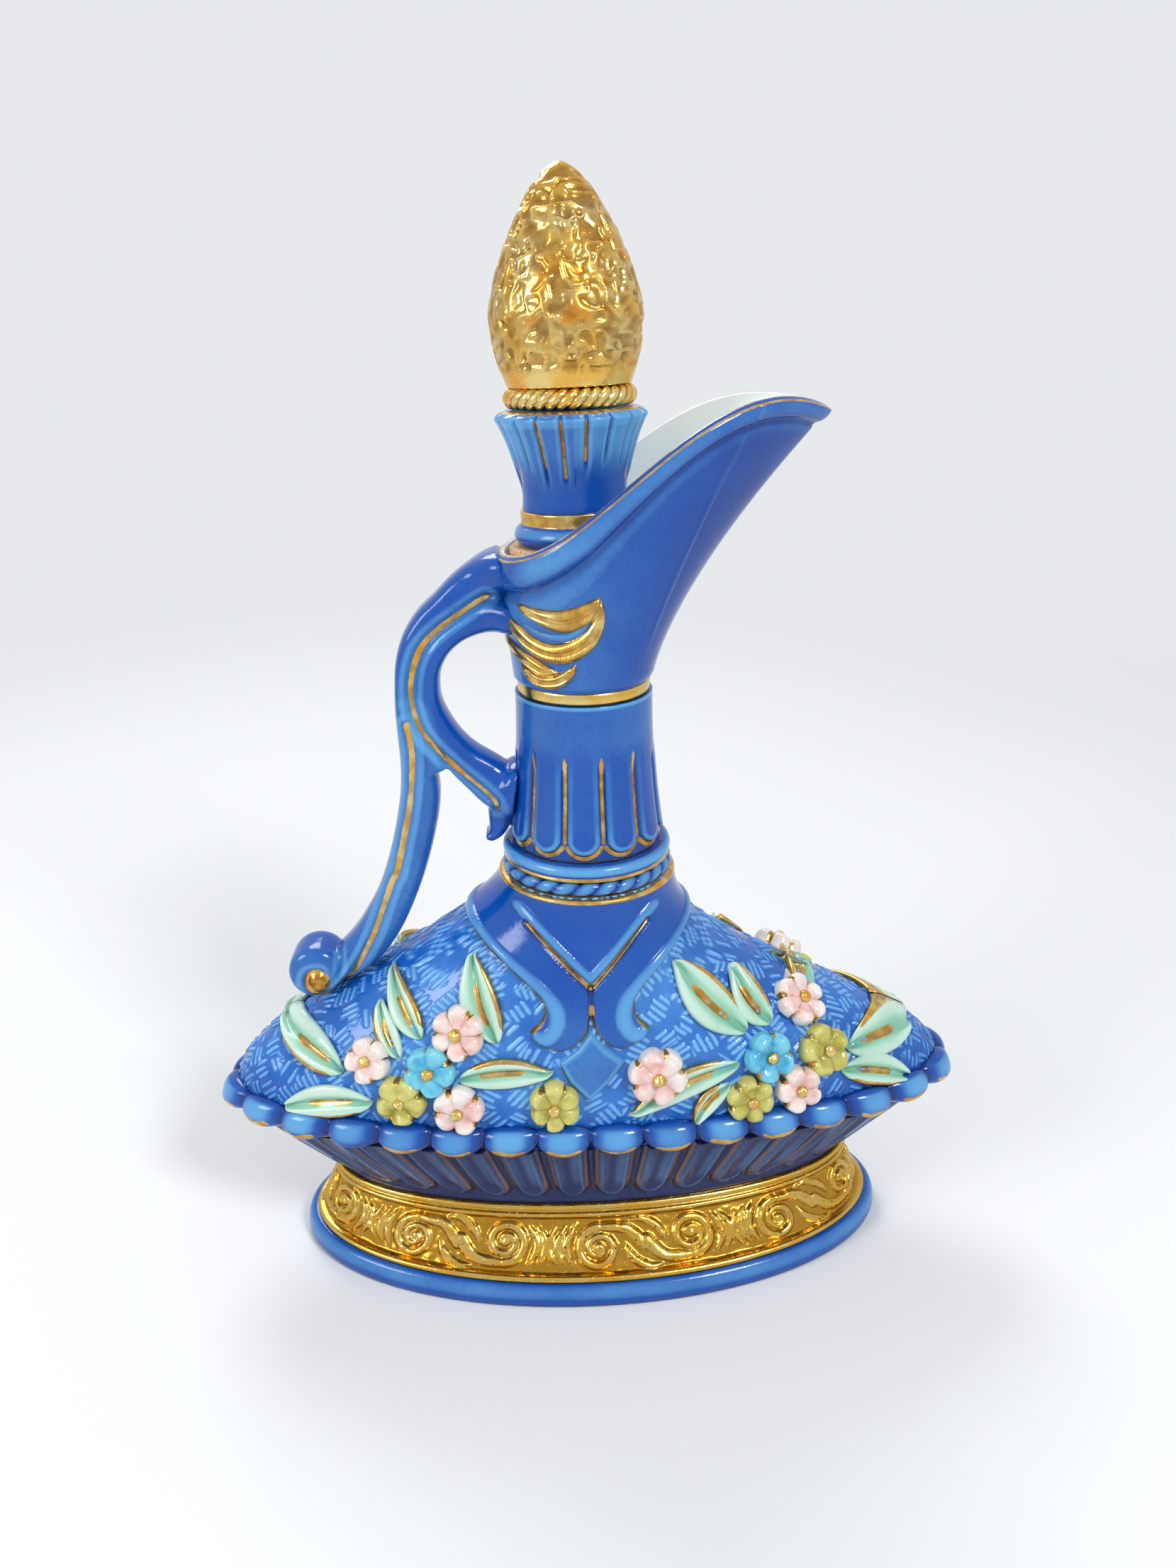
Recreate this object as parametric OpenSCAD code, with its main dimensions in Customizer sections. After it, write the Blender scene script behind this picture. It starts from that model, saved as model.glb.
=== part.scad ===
// Genie bottle: a flattened, footed ceramic decanter with a fluted neck, a swept
// pouring spout, a scrolled handle and a gold egg stopper on a cork.
// Origin: centre of the foot, on the table. +X is the spout side, +Z is up.

/* [Foot] */
// Overall length of the blue foot moulding
foot_len = 205; // [190:1:220]
// Overall depth of the blue foot moulding
foot_dep = 100; // [90:1:110]
// Height of the blue foot moulding
foot_rim_h = 8; // [6:0.5:10]
// Height of the gold wall of the foot
foot_band_h = 20; // [16:0.5:24]
// Wall of the foot
foot_wall = 5; // [4:0.5:7]
// How far the foot draws in lengthwise, each end, from table to bowl
foot_draft_x = 9; // [6:0.5:12]
// How far the foot draws in depthwise, each side, from table to bowl
foot_draft_y = 15; // [12:0.5:17]

/* [Bowl and ruffle] */
// Overall length across the ruffled rim
ruffle_len = 254; // [246:1:262]
// Overall depth across the ruffled rim
ruffle_dep = 87; // [83:1:92]
// Number of lobes round the ruffle and of gadroons below it
lobes = 32; // [24:1:34]
// Where the first notch of the ruffle lies, as a share of a lobe from the end
notch_shift = 0.88; // [0:0.02:0.98]
// How far a lobe stands out beyond the notch beside it
lobe_out = 4.4; // [3:0.2:5.4]
// How far a lobe droops below the notch beside it
lobe_droop = 3.6; // [2:0.2:4.4]
// Height of the gadrooned bowl
bowl_h = 24; // [20:0.5:28]
// Height of the ruffled rim
ruffle_h = 10; // [9:0.5:12]
// Swell of one gadroon
gadroon_out = 1.6; // [0.8:0.1:2]
// Wall of the bowl
bowl_wall = 5; // [4:0.5:6]

/* [Shoulder] */
// Height of the shoulder from the ruffle to the neck
shoulder_h = 76; // [70:1:84]
// Radius where the shoulder meets the neck
shoulder_top_r = 26.5; // [25.5:0.1:27]
// How late the shoulder swells on the spout side
swell_spout = 1.22; // [1:0.02:1.4]
// How late the shoulder swells on the handle side
swell_handle = 0.93; // [0.85:0.02:1]
// How late the front and back swell
swell_front = 0.85; // [0.75:0.01:1]
// Wall of the shoulder
shoulder_wall = 5; // [4:0.5:6]

/* [Neck] */
// Radius of the bore down the neck
neck_bore_r = 16; // [14:0.1:16.2]
// Height of the rope ring round the foot of the neck
rope_h = 6; // [5:0.5:7]
// Height of the plain roll above the rope ring
roll_h = 4; // [3:0.5:5]
// Height of the fluted neck
neck_h = 48.6; // [45:0.2:52]
// Radius at the top of the fluted neck
neck_top_r = 21; // [20.4:0.1:22]
// Radius at the bottom of the fluted neck
neck_foot_r = 24.8; // [24:0.1:25.4]
// Number of flutes round the neck
flutes = 12; // [8:1:14]
// Depth of the grooves between the flutes
flute_deep = 1.1; // [0.4:0.1:1.6]
// Height of the gold band let into the top of the neck
band_h = 4; // [3:0.5:6]
// How deep the gold band lies below the neck
band_recess = 0.8; // [0.4:0.1:1.4]

/* [Spout] */
// Reach of the pouring tip from the neck axis
spout_reach = 72; // [68:1:76]
// Half width of the mouth
mouth_r = 26.9; // [25:0.1:28]
// Distance of the back of the mouth from the neck axis
mouth_back = 25; // [24.4:0.1:26.4]
// Height of the back of the mouth above the gold band
mouth_back_h = 37.3; // [35:0.1:40]
// Rise of the rim from the back of the mouth to its highest point
rim_rise = 42; // [36:0.5:44]
// Wall of the spout at its rim
spout_wall = 2.8; // [2.2:0.1:3]
// Swell of the rolled lip under the rim
lip_swell = 1.5; // [0.5:0.1:2]
// Height of that lip at the sides and back; it narrows towards the tip
lip_h = 9; // [6:0.5:10]
// Turn of the head away from the length of the foot, as it was luted on
head_turn = 3; // [0:1:8]

/* [Handle] */
// Half thickness of the handle, front to back
handle_half = 7.5; // [6:0.5:8.5]
// Radius of the scroll that ends the handle
scroll_r = 8.7; // [8:0.1:8.8]
// Half thickness of that scroll, front to back
scroll_half = 8.5; // [7:0.5:10]

/* [Applied ornament] */
// Gap of slip between an applied piece and what carries it
slip = 0.3; // [0.2:0.05:0.5]
// Crown of a leaf above the shoulder
leaf_crown = 2; // [1.2:0.1:3]
// Height of a flower for each unit of its radius
flower_rise = 0.5; // [0.3:0.05:0.7]
// Crown of the straps below the mantle
strap_crown = 2.4; // [1.6:0.1:3]
// Thickness of the mantle
mantle_thick = 1.4; // [1:0.1:2]
// Extra slip under pieces that bridge the curve of the shoulder
bed = 0.35; // [0.25:0.05:0.45]
// Radius of the gold bead in a flower
bead_r = 1.8; // [1.2:0.1:2.2]

/* [Stopper] */
// Lean of the stopper towards the handle, in degrees
stopper_lean = 1.6; // [0:0.1:2]
// Radius of the cork at its lower end
cork_foot_r = 16.8; // [16.4:0.1:17]
// Taper of the cork: gain of radius for each unit of height
cork_taper = 0.08; // [0.06:0.005:0.09]
// Length of the cork
cork_len = 38.4; // [34:0.2:39]
// Running clearance between the cork and its seat
cork_fit = 0.06; // [0.02:0.01:0.1]
// Radius of the stopper's blue foot ring
torus_r = 18; // [17:0.1:19]
// Narrowest radius of the fluted collar
collar_r = 15.3; // [14.5:0.1:16]
// Radius of the flared edge of the fluted collar
flare_r = 21.6; // [20:0.1:22]
// Number of grooves round the collar
collar_flutes = 18; // [12:1:20]
// Greatest radius of the egg
egg_r = 21.1; // [20:0.1:22.5]
// Height of the egg
egg_h = 55.6; // [50:0.2:62]
// Radius of the tang that carries the cork
tang_r = 6; // [5:0.1:7]

/* [Hidden] */

// Heights of the joints between the stacked pieces.
bowl_z = foot_rim_h + foot_band_h;
ruffle_z = bowl_z + bowl_h;
waist_z = ruffle_z + ruffle_h;
neck_z = waist_z + shoulder_h;
roll_z = neck_z + rope_h;
flute_z = roll_z + roll_h;
band_z = flute_z + neck_h;
head_z = band_z + band_h;

// Half sizes of the shoulder at the waist: the ruffle's lobes stand outside them.
lobe_margin = 2.2;
waist_x = ruffle_len / 2 - lobe_out - lobe_margin;
waist_y = ruffle_dep / 2 - lobe_out * 0.9 - lobe_margin * 0.33;
// Half sizes of the foot where the bowl stands on it.
foot_top_x = foot_len / 2 - 4.5 - foot_draft_x;
foot_top_y = foot_dep / 2 - 3 - foot_draft_y;

seam_fine = 48;
bore_fine = 64;
copper_gold = [0.83, 0.6, 0.2];
cobalt = [0.06, 0.2, 0.66];
sky = [0.3, 0.5, 0.85];
navy = [0.08, 0.12, 0.4];
mint = [0.6, 0.85, 0.7];

// Skins: rings of equal count, counted anticlockwise seen from the far end.
function ring_faces(m, n, closed) =
    [for (i = [0:closed ? m - 1 : m - 2])
        for (j = [0:n - 1])
            let(a = i * n + j, b = i * n + (j + 1) % n)
            let(c = ((i + 1) % m) * n + (j + 1) % n, d = ((i + 1) % m) * n + j)
            each [[a, d, c], [a, c, b]]];
function middle(ring) = [for (k = [0:2]) let(s = [for (p = ring) p[k]]) sum(s) / len(s)];
function sum(v, i = 0) = i < len(v) ? v[i] + sum(v, i + 1) : 0;

// A solid lofted through its rings, both ends closed.
module loft(rings) {
    m = len(rings);
    n = len(rings[0]);
    low = m * n;
    points = concat([for (r = rings) each r], [middle(rings[0]), middle(rings[m - 1])]);
    low_end = [for (j = [0:n - 1]) [low, j, (j + 1) % n]];
    high_end = [for (j = [0:n - 1]) [low + 1, low - n + (j + 1) % n, low - n + j]];
    polyhedron(points, concat(ring_faces(m, n, false), low_end, high_end));
}

// A ring-shaped solid: the last section joins the first.
module hoop(rings) {
    polyhedron([for (r = rings) each r], ring_faces(len(rings), len(rings[0]), true));
}

// An oval at one height, and one whose lobes swell by a weight at each point. The
// lobes are equally long round the waist, which an even turn would not give.
function oval(x, y, z, n) = [for (j = [0:n - 1]) [x * cos(360 * j / n), y * sin(360 * j / n), z]];
arc_step = 3;
waist_arc = [for (t = 0, s = 0; t <= 360;
    s = s + norm([waist_x * (cos(t + arc_step) - cos(t)), waist_y * (sin(t + arc_step) - sin(t))]),
    t = t + arc_step) [s, t]];
waist_girth = waist_arc[360 / arc_step][0];
function lobed(x, y, z, out, droop, weights) =
    let(per = len(weights), n = lobes * per)
    [for (j = [0:n - 1])
        let(w = weights[j % per], t = lookup(waist_girth * ((j / per + notch_shift) % lobes) / lobes, waist_arc))
        [(x + out * w) * cos(t), (y + out * 0.9 * w) * sin(t), z - droop * w]];

// Form of the shoulder: half length and half depth at each height. They run
// straight between the levels at which the shell has its rings.
levels = [0, 0.04, 0.12, 0.25, 0.4, 0.55, 0.69, 0.82, 0.91, 1];
function ease(t) = t * t * (3 - 2 * t);
function swelling(half, late) =
    [for (t = levels) [waist_z + t * shoulder_h,
        shoulder_top_r + (half - shoulder_top_r) * ease(pow(1 - t, late))]];
spout_half = swelling(waist_x, swell_spout);
handle_half_x = swelling(waist_x, swell_handle);
front_half = swelling(waist_y, swell_front);
function half_x(z, side) = lookup(z, side > 0 ? spout_half : handle_half_x);
function half_y(z) = lookup(z, front_half);
function shoulder_ring(z, out, n) =
    [for (j = [0:n - 1])
        let(t = 360 * j / n)
        [(half_x(z, cos(t)) + out) * cos(t), (half_y(z) + out) * sin(t), z]];

// Distance field of the shoulder, its outward direction, and seating on it.
function field(p) = pow(p.x / half_x(p.z, p.x), 2) + pow(p.y / half_y(p.z), 2) - 1;
function slope(p) =
    let(e = 0.05)
    [for (v = [[e, 0, 0], [0, e, 0], [0, 0, e]]) (field(p + v) - field(p - v)) / (2 * e)];
function unit(v) = v / norm(v);
function front_at(x, z) = [x, -half_y(z) * sqrt(max(0, 1 - pow(x / half_x(z, x), 2))), z];
function settle(q, n, h, tries = 4) =
    tries == 0 ? q + n * h : settle(q - n * field(q) / (slope(q) * n), n, h, tries - 1);

// Foot: a moulded oval ring below a tapering gold wall, hollow inside.
module foot_rim() {
    x = foot_len / 2;
    y = foot_dep / 2;
    inner_x = x - 4.5 - foot_wall;
    inner_y = y - 3 - foot_wall;
    color(sky) hoop([
        oval(x - 1.4, y - 1.4, 0, 56),
        oval(x, y, foot_rim_h * 0.3, 56),
        oval(x - 0.3, y - 0.3, foot_rim_h * 0.7, 56),
        oval(x - 2.4, y - 1.8, foot_rim_h, 56),
        oval(inner_x, inner_y, foot_rim_h, 56),
        oval(inner_x, inner_y, 0, 56)]);
}

module foot_band() {
    low_x = foot_len / 2 - 4.5;
    low_y = foot_dep / 2 - 3;
    bead = 2;
    groove = 0.8;
    function at(h, out) = let(t = h / foot_band_h)
        oval(low_x - foot_draft_x * t + out, low_y - foot_draft_y * t + out, foot_rim_h + h, 56);
    color(copper_gold) hoop([
        at(0, 0),
        at(bead, 0),
        at(bead + groove, -groove),
        at(foot_band_h - bead - groove, -groove),
        at(foot_band_h - bead, 0),
        at(foot_band_h, 0),
        at(foot_band_h, -foot_wall),
        at(0, -foot_wall)]);
}

// Bowl: rises from the foot in rounded gadroons, each under a lobe of the ruffle.
gadroon = [0, 1, 1];
bowl_top_x = waist_x - 5;
bowl_top_y = waist_y - 3.2;
module lower_bowl() {
    plain_h = 3.5;
    floor_h = 6;
    function side(h, swell) = let(t = (h - plain_h) / (bowl_h - plain_h))
        lobed(foot_top_x + (bowl_top_x - foot_top_x) * pow(t, 0.86),
              foot_top_y + (bowl_top_y - foot_top_y) * pow(t, 0.9),
              bowl_z + h, gadroon_out * swell, 0, gadroon);
    color(navy) loft([
        lobed(foot_top_x - 1, foot_top_y - 1, bowl_z, 0, 0, gadroon),
        side(plain_h, 0),
        side(plain_h + 1.6, 0.8),
        side(bowl_h * 0.55, 1.2),
        side(bowl_h, 1),
        lobed(bowl_top_x - bowl_wall, bowl_top_y - bowl_wall, ruffle_z, 0, 0, gadroon),
        lobed(foot_top_x - bowl_wall, foot_top_y - bowl_wall, bowl_z + floor_h, 0, 0, gadroon)]);
}

// Ruffled rim: drooping lobes round the widest part, flat above and below.
ruffle = [0, 0.8, 1, 0.8];
module ruffled_rim() {
    lip_z = waist_z - 1.7;
    inner_x = bowl_top_x - bowl_wall;
    inner_y = bowl_top_y - bowl_wall;
    color(cobalt) hoop([
        lobed(bowl_top_x + gadroon_out, bowl_top_y + gadroon_out, ruffle_z, 0, 0, ruffle),
        lobed(waist_x + lobe_margin, waist_y + lobe_margin * 0.33, lip_z,
              lobe_out, lobe_droop, ruffle),
        lobed(waist_x + lobe_margin - 0.4, waist_y + lobe_margin * 0.3, waist_z + 0.6,
              lobe_out * 0.9, 0.9, ruffle),
        lobed(waist_x + 0.3, waist_y + 0.3, waist_z, 0, 0, ruffle),
        lobed(inner_x, inner_y, waist_z, 0, 0, ruffle),
        lobed(inner_x, inner_y, ruffle_z, 0, 0, ruffle)]);
}

// Shoulder: a hollow shell, round at the neck and a long oval at the waist.
module shoulder_shell() {
    inner = [0.92, 0.72, 0.46, 0.2, 0];
    function hollow(t) = let(z = waist_z + t * shoulder_h, ring = shoulder_ring(z, -shoulder_wall, seam_fine))
        [for (j = [0:seam_fine - 1])
            let(c = 360 * j / seam_fine)
            let(p = ring[j], r = norm([p.x, p.y]))
            r < neck_bore_r ? [neck_bore_r * cos(c), neck_bore_r * sin(c), z] : p];
    color(sky) hoop(concat(
        [for (t = levels) shoulder_ring(waist_z + t * shoulder_h, 0, seam_fine)],
        [oval(neck_bore_r, neck_bore_r, neck_z, seam_fine)],
        [for (t = inner) hollow(t)]));
}

// Mantle: a thin cobalt cape round the top of the shoulder, its lower edge
// running down to a point at the middle of the front and of the back.
module mantle() {
    v_point = 111;
    v_wing = 127;
    side_low = 122;
    v_reach = 38;
    scale_h = shoulder_h / 76;
    function low(t) =
        let(off = abs((t % 180) - 90))
        neck_z - scale_h * (138 - (off < v_reach
            ? v_point + (v_wing - v_point) * off / v_reach
            : v_wing + (side_low - v_wing) * (off - v_reach) / (90 - v_reach)));
    function edge(f, out) =
        [for (j = [0:seam_fine - 1])
            let(t = 360 * j / seam_fine)
            let(z = neck_z - slip - (neck_z - slip - low(t)) * f)
            [(half_x(z, cos(t)) + out) * cos(t), (half_y(z) + out) * sin(t), z]];
    color(cobalt) hoop(concat(
        [for (f = [1, 0.66, 0.33, 0]) edge(f, slip + mantle_thick)],
        [for (f = [0, 0.5, 1]) edge(f, slip)]));
}

// A sprig laid on the shoulder: stations along a path, each with its half width.
// The section is crowned, with a shallow vein down the middle.
function heading(path, i) =
    let(a = path[max(0, i - 1)], b = path[min(len(path) - 1, i + 1)])
    front_at(b.x, b.y) - front_at(a.x, a.y);
function sprig_ring(path, i, crown, vein) =
    let(c = path[i], p = front_at(c.x, c.y), n = unit(slope(p)))
    let(across = unit(cross(n, heading(path, i))), w = c.z)
    [for (s = [[-1, 0], [0, 0], [1, 0], [0.62, crown], [0, crown * vein], [-0.62, crown]])
        settle(p + across * w * s.x, n, slip + bed + s.y * min(1, w / 2))];
module sprig(path, crown, vein) {
    loft([for (i = [0:len(path) - 1]) sprig_ring(path, i, crown, vein)]);
}

// Straps: two S-shaped bands that leave the mantle, meet on the centre line and
// hook outwards. Each row is x, z and the half width, on the handle side.
strap = [[-28, 120, 5.2], [-22, 115.6, 5.8], [-16.5, 111, 6], [-11.5, 106, 6.2],
    [-9.4, 101, 6.6], [-9.6, 97, 5.4], [-12, 94.6, 3.6], [-16, 94.4, 2.2]];
module mantle_straps() {
    color(cobalt)
    for (back = [0, 1]) mirror([0, back, 0])
        for (side = [1, -1]) sprig([for (p = strap) [side * p.x, p.y, p.z]], strap_crown, 0.98);
}

// Pendant: a crowned lozenge below the point where the straps meet.
module pendants() {
    centre = [-0.5, 82.5];
    half = [9.2, 7.4];
    p = front_at(centre.x, centre.y);
    n = unit(slope(p));
    across = unit(cross(n, [0, 0, 1]));
    up = cross(across, n);
    function rim(f, h) = [for (k = [0:7])
        let(t = 45 * k, r = k % 2 == 0 ? 1 : 0.62)
        settle(p - across * half.x * f * r * cos(t) + up * half.y * f * r * sin(t), n, h)];
    color(navy)
    for (back = [0, 1]) mirror([0, back, 0])
        loft([rim(1, slip), rim(0.62, slip + 1.6)]);
}

// Flowers: five-lobed domes seated on the shoulder. Each row is x, z, radius.
pink = [[-71, 84, 6.6], [-42, 95, 7.2], [-43, 71, 7], [19, 81, 7.6], [67, 92.5, 7.4], [65, 70, 6.1]];
yellow = [[-61, 73, 6.8], [-13, 73, 7.3], [74, 80, 6.7], [49, 70, 6.4]];
turquoise = [[-51, 83, 6.7], [55, 82, 7]];
petal = [0.8, 1, 1];
module flower(f) {
    p = front_at(f.x, f.y);
    n = unit(slope(p));
    across = unit(cross(n, [0, 0, 1]));
    up = cross(across, n);
    function whorl(k, h, flat) = [for (j = [0:14])
        let(t = 24 * j, r = f.z * k * petal[j % 3])
        let(q = p - across * r * cos(t) + up * r * sin(t))
        flat ? q + n * h : settle(q, n, h)];
    loft([whorl(1, slip + bed, false), whorl(0.66, slip + bed + f.z * flower_rise, true)]);
}
module flowers(list) {
    for (back = [0, 1]) mirror([0, back, 0])
        for (f = list) flower(f);
}
module pink_flowers() { color("pink") flowers(pink); }
module yellow_flowers() { color("gold") flowers(yellow); }
module turquoise_flowers() { color("deepskyblue") flowers(turquoise); }

// Gold beads: half balls, flat side on the middle of each flower.
module flower_beads() {
    seat = 0.1;
    color(copper_gold)
    for (back = [0, 1]) mirror([0, back, 0])
        for (f = concat(pink, yellow, turquoise)) {
            p = front_at(f.x, f.y);
            n = unit(slope(p));
            translate(p + n * (slip + bed + f.z * flower_rise + seat))
            rotate([0, acos(n.z), atan2(n.y, n.x)])
            difference() {
                sphere(bead_r, $fn = 24);
                translate([-bead_r * 2, -bead_r * 2, -bead_r * 4]) cube(bead_r * 4);
            }
        }
}

// Leaves: each row is the stalk end x, z, the tip x, z and the half width.
leaves = [
    [-79.5, 79.5, -100, 85, 4.2], [-70.5, 71, -98, 65.5, 4], [-54.5, 93, -62.5, 105.5, 3.5],
    [-61.5, 86.5, -67, 98, 2.7], [-30.2, 94.4, -36, 114, 4.6], [-41, 80.8, -15.5, 83.2, 3.4],
    [47.5, 91.5, 27, 112, 4.4], [56, 91.5, 45.5, 104.5, 3.2], [62.5, 97.5, 53, 103.5, 2.2],
    [82.5, 78.5, 106, 76, 3.8], [81, 73, 103, 65.5, 3.4], [44.5, 81, 15, 67.5, 3],
    [40.5, 74.5, 31.5, 65.5, 2.3]];
module leaf(f) {
    stations = [0.03, 0.2, 0.45, 0.72, 0.97];
    path = [for (t = stations)
        [f[0] + (f[2] - f[0]) * t, f[1] + (f[3] - f[1]) * t, f[4] * pow(sin(180 * t), 0.7)]];
    sprig(path, leaf_crown, 0.7);
}
module leaves_front() { color(mint) for (f = leaves) leaf(f); }
module leaves_back() { color(mint) mirror([0, 1, 0]) for (f = leaves) leaf(f); }

// Rope ring: strands laid slantwise round a ring, seated on the roll's sleeve.
function rope(mid_r, tube_r, z, strands, per, sides) =
    [for (k = [0:sides - 1])
        [for (j = [0:strands * per - 1])
            let(t = 360 * j / (strands * per), a = -360 * k / sides)
            let(r = tube_r * (0.9 + 0.1 * cos(strands * t + a)))
            [(mid_r - r * cos(a)) * cos(t), (mid_r - r * cos(a)) * sin(t), z + r * sin(a)]]];
sleeve_r = 22.6;
module rope_ring() {
    tube = rope_h / 2 - slip;
    color(sky) hoop(rope(sleeve_r + slip + tube, tube, neck_z + rope_h / 2, 24, 3, 5));
}

// Roll at the foot of the neck, on a sleeve that carries the rope ring.
module neck_roll() {
    color(sky)
    rotate_extrude($fn = bore_fine)
    difference() {
        union() {
            translate([0, neck_z]) square([sleeve_r, rope_h + roll_h]);
            translate([0, roll_z]) square([neck_foot_r, roll_h]);
            translate([neck_foot_r - 0.4, roll_z + roll_h / 2]) circle(roll_h / 2, $fn = 32);
        }
        translate([-1, neck_z - 1]) square([neck_bore_r + 1, rope_h + roll_h + 2]);
    }
}

// Neck: tall flutes with grooves between them that fade towards the top.
module fluted_neck() {
    first_groove = 10.8;
    groove = [-1, 0.1, 0.45, 0.45, 0.1];
    heights = [0, 0.07, 0.25, 0.5, 0.8, 1];
    function wall_r(t) = neck_top_r + (neck_foot_r - neck_top_r) * pow(1 - t, 2.2);
    function ring(t) = [for (j = [0:flutes * 5 - 1])
        let(c = first_groove + 360 * j / (flutes * 5))
        let(fade = t == 0 ? 0 : max(0, 1 - t * 1.15))
        let(r = wall_r(t) + flute_deep * groove[j % 5] * fade)
        [r * cos(c), r * sin(c), flute_z + neck_h * t]];
    color(cobalt)
    difference() {
        loft([for (t = heights) ring(t)]);
        translate([0, 0, flute_z - 1]) cylinder(r = neck_bore_r, h = neck_h + 2, $fn = bore_fine);
    }
}

// Gold band: a plain ring set back between the neck and the head.
module neck_band() {
    color(copper_gold)
    translate([0, 0, band_z])
    difference() {
        cylinder(r = neck_top_r - band_recess, h = band_h, $fn = bore_fine);
        translate([0, 0, -1]) cylinder(r = neck_bore_r, h = band_h + 2, $fn = bore_fine);
    }
}

// Head: mouth and spout. The rim is a teardrop in plan that climbs from the back
// of the mouth to the spout; the wall is lofted from the round neck to that rim.
rim_run = 80;
function rim_z(u) = head_z + mouth_back_h + rim_rise
    * pow(sin(min(140, 90 * (u + mouth_back) / rim_run)), 1.6);
function mouth_half(u, reach, half) = half * pow(1 - pow(max(0, u) / reach, 2.1), 0.8);
function rim_at(t, inset) =
    let(reach = spout_reach - inset * 1.8, half = mouth_r - inset, back = mouth_back - inset)
    let(u = cos(t) > 0 ? reach * cos(t) : back * cos(t))
    let(v = cos(t) > 0 ? sign(sin(t)) * mouth_half(min(u, reach), reach, half) : half * sin(t))
    [u, v, rim_z(u)];
function head_ring(share, below, out, n) = [for (j = [0:n - 1])
    let(t = 360 * j / n, rim = rim_at(t, 0), r = neck_top_r + 0.2)
    let(s = share - below * lip_h * (1 - 0.6 * max(0, cos(t))) / (rim.z - head_z))
    let(f = pow(s, 1 + 0.4 * max(0, cos(t))))
    [(r * cos(t)) * (1 - f) + rim.x * f + out * cos(t),
     (r * sin(t)) * (1 - f) + rim.y * f + out * sin(t),
     head_z + (rim.z - head_z) * s]];
ledge_z = head_z + 21.4;
function throat_ring(s, n) = [for (j = [0:n - 1])
    let(t = 360 * j / n, rim = rim_at(t, spout_wall), f = pow(s, 1 + 0.1 * max(0, cos(t))))
    let(r = neck_top_r - 0.5)
    [(r * cos(t)) * (1 - f) + rim.x * f,
     (r * sin(t)) * (1 - f) + rim.y * f,
     ledge_z + (rim.z - 0.5 - ledge_z) * s]];
module spout_head() {
    n = 40;
    wall = [[0, 0, 0], [0.12, 0, 0], [0.3, 0, 0], [0.5, 0, 0], [1, 1.3, 0], [1, 1, -0.2],
        [1, 0.75, lip_swell], [1, 0.3, lip_swell], [1, 0, 0.2]];
    color(cobalt)
    difference() {
        rotate([0, 0, head_turn])
        loft(concat(
            [for (w = wall) head_ring(w.x, w.y, w.z, n)],
            [for (s = [1, 0.75, 0.45, 0.2, 0]) throat_ring(s, n)]));
        on_stopper_axis()
        translate([0, 0, -9]) cone_at(-9, ledge_z - head_z + 10, cork_fit);
    }
}
// A piece of the cork's cone, from below its foot, opened by a clearance.
module cone_at(low, h, fit) {
    cylinder(r1 = cork_foot_r + fit + cork_taper * (low - cork_low),
        r2 = cork_foot_r + fit + cork_taper * (low - cork_low + h + 9), h = h + 9, $fn = bore_fine);
}

// Stopper axis: it passes through the middle of the gold band and leans a little.
cork_low = 2;
module on_stopper_axis() {
    translate([0, 0, head_z])
    translate([0, 0, -band_h]) rotate([0, -stopper_lean, 0]) translate([0, 0, band_h])
    children();
}

// Handle: limbs swept along the plane of the foot's length. Each row is x, z and
// the half width of the limb; both sides carry a shallow groove.
outer_limb = [[-26.9, 232.6, 5.2], [-34.7, 228.7, 4.5], [-41.2, 223.7, 4], [-46.4, 219.4, 3.6],
    [-50.8, 213.9, 3], [-53.4, 207.6, 2.6], [-54.5, 201, 2.4], [-54.8, 191.8, 2.6],
    [-54, 183.5, 3.3], [-52.4, 176, 4.9], [-51.6, 168.7, 6], [-52.1, 161.5, 6.4],
    [-54.2, 151.7, 6.4], [-57.3, 141, 6.3], [-61.5, 130, 6.2], [-66.5, 120.5, 6.4],
    [-72.1, 112.6, 6.3], [-78, 106.6, 5]];
inner_limb = [[-24.6, 220.7, 5.1], [-25.6, 220.7, 5.1], [-31.5, 219.3, 4.6], [-37.6, 216, 3.5],
    [-42.7, 211.4, 3.4], [-45.9, 205.7, 3.5], [-47.1, 200.1, 3.7], [-47, 194, 3.9],
    [-45.3, 187.2, 4.7], [-42, 181, 5.1], [-37.6, 175.3, 5.8], [-31.5, 169.8, 7],
    [-26.9, 165.5, 7.2], [-24.4, 165.4, 7.6]];
spur = [[-28.3, 158.4, 2.8], [-29.2, 153.6, 2.4], [-30.4, 150.4, 1.8], [-32, 148.8, 0.8]];
limb_section = [[1, 0.45], [0.6, 1], [0, 0.86], [-0.6, 1], [-1, 0.45],
    [-1, -0.45], [-0.6, -1], [0, -0.86], [0.6, -1], [1, -0.45]];
function limb_ring(path, i, half) =
    let(a = path[max(0, i - 1)], b = path[min(len(path) - 1, i + 1)], c = path[i])
    let(d = unit([b.x - a.x, b.y - a.y]))
    [for (s = limb_section)
        [c.x - d.y * c.z * s.x, -half * s.y, c.y + d.x * c.z * s.x]];
module limb(path, half) {
    loft([for (i = [0:len(path) - 1]) limb_ring(path, i, half)]);
}
module handle_outer_limb() { color(cobalt) limb(outer_limb, handle_half); }
module handle_inner_limb() { color(cobalt) limb(inner_limb, handle_half - 1); }
module handle_spur() { color(cobalt) limb(spur, handle_half - 3); }

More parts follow.
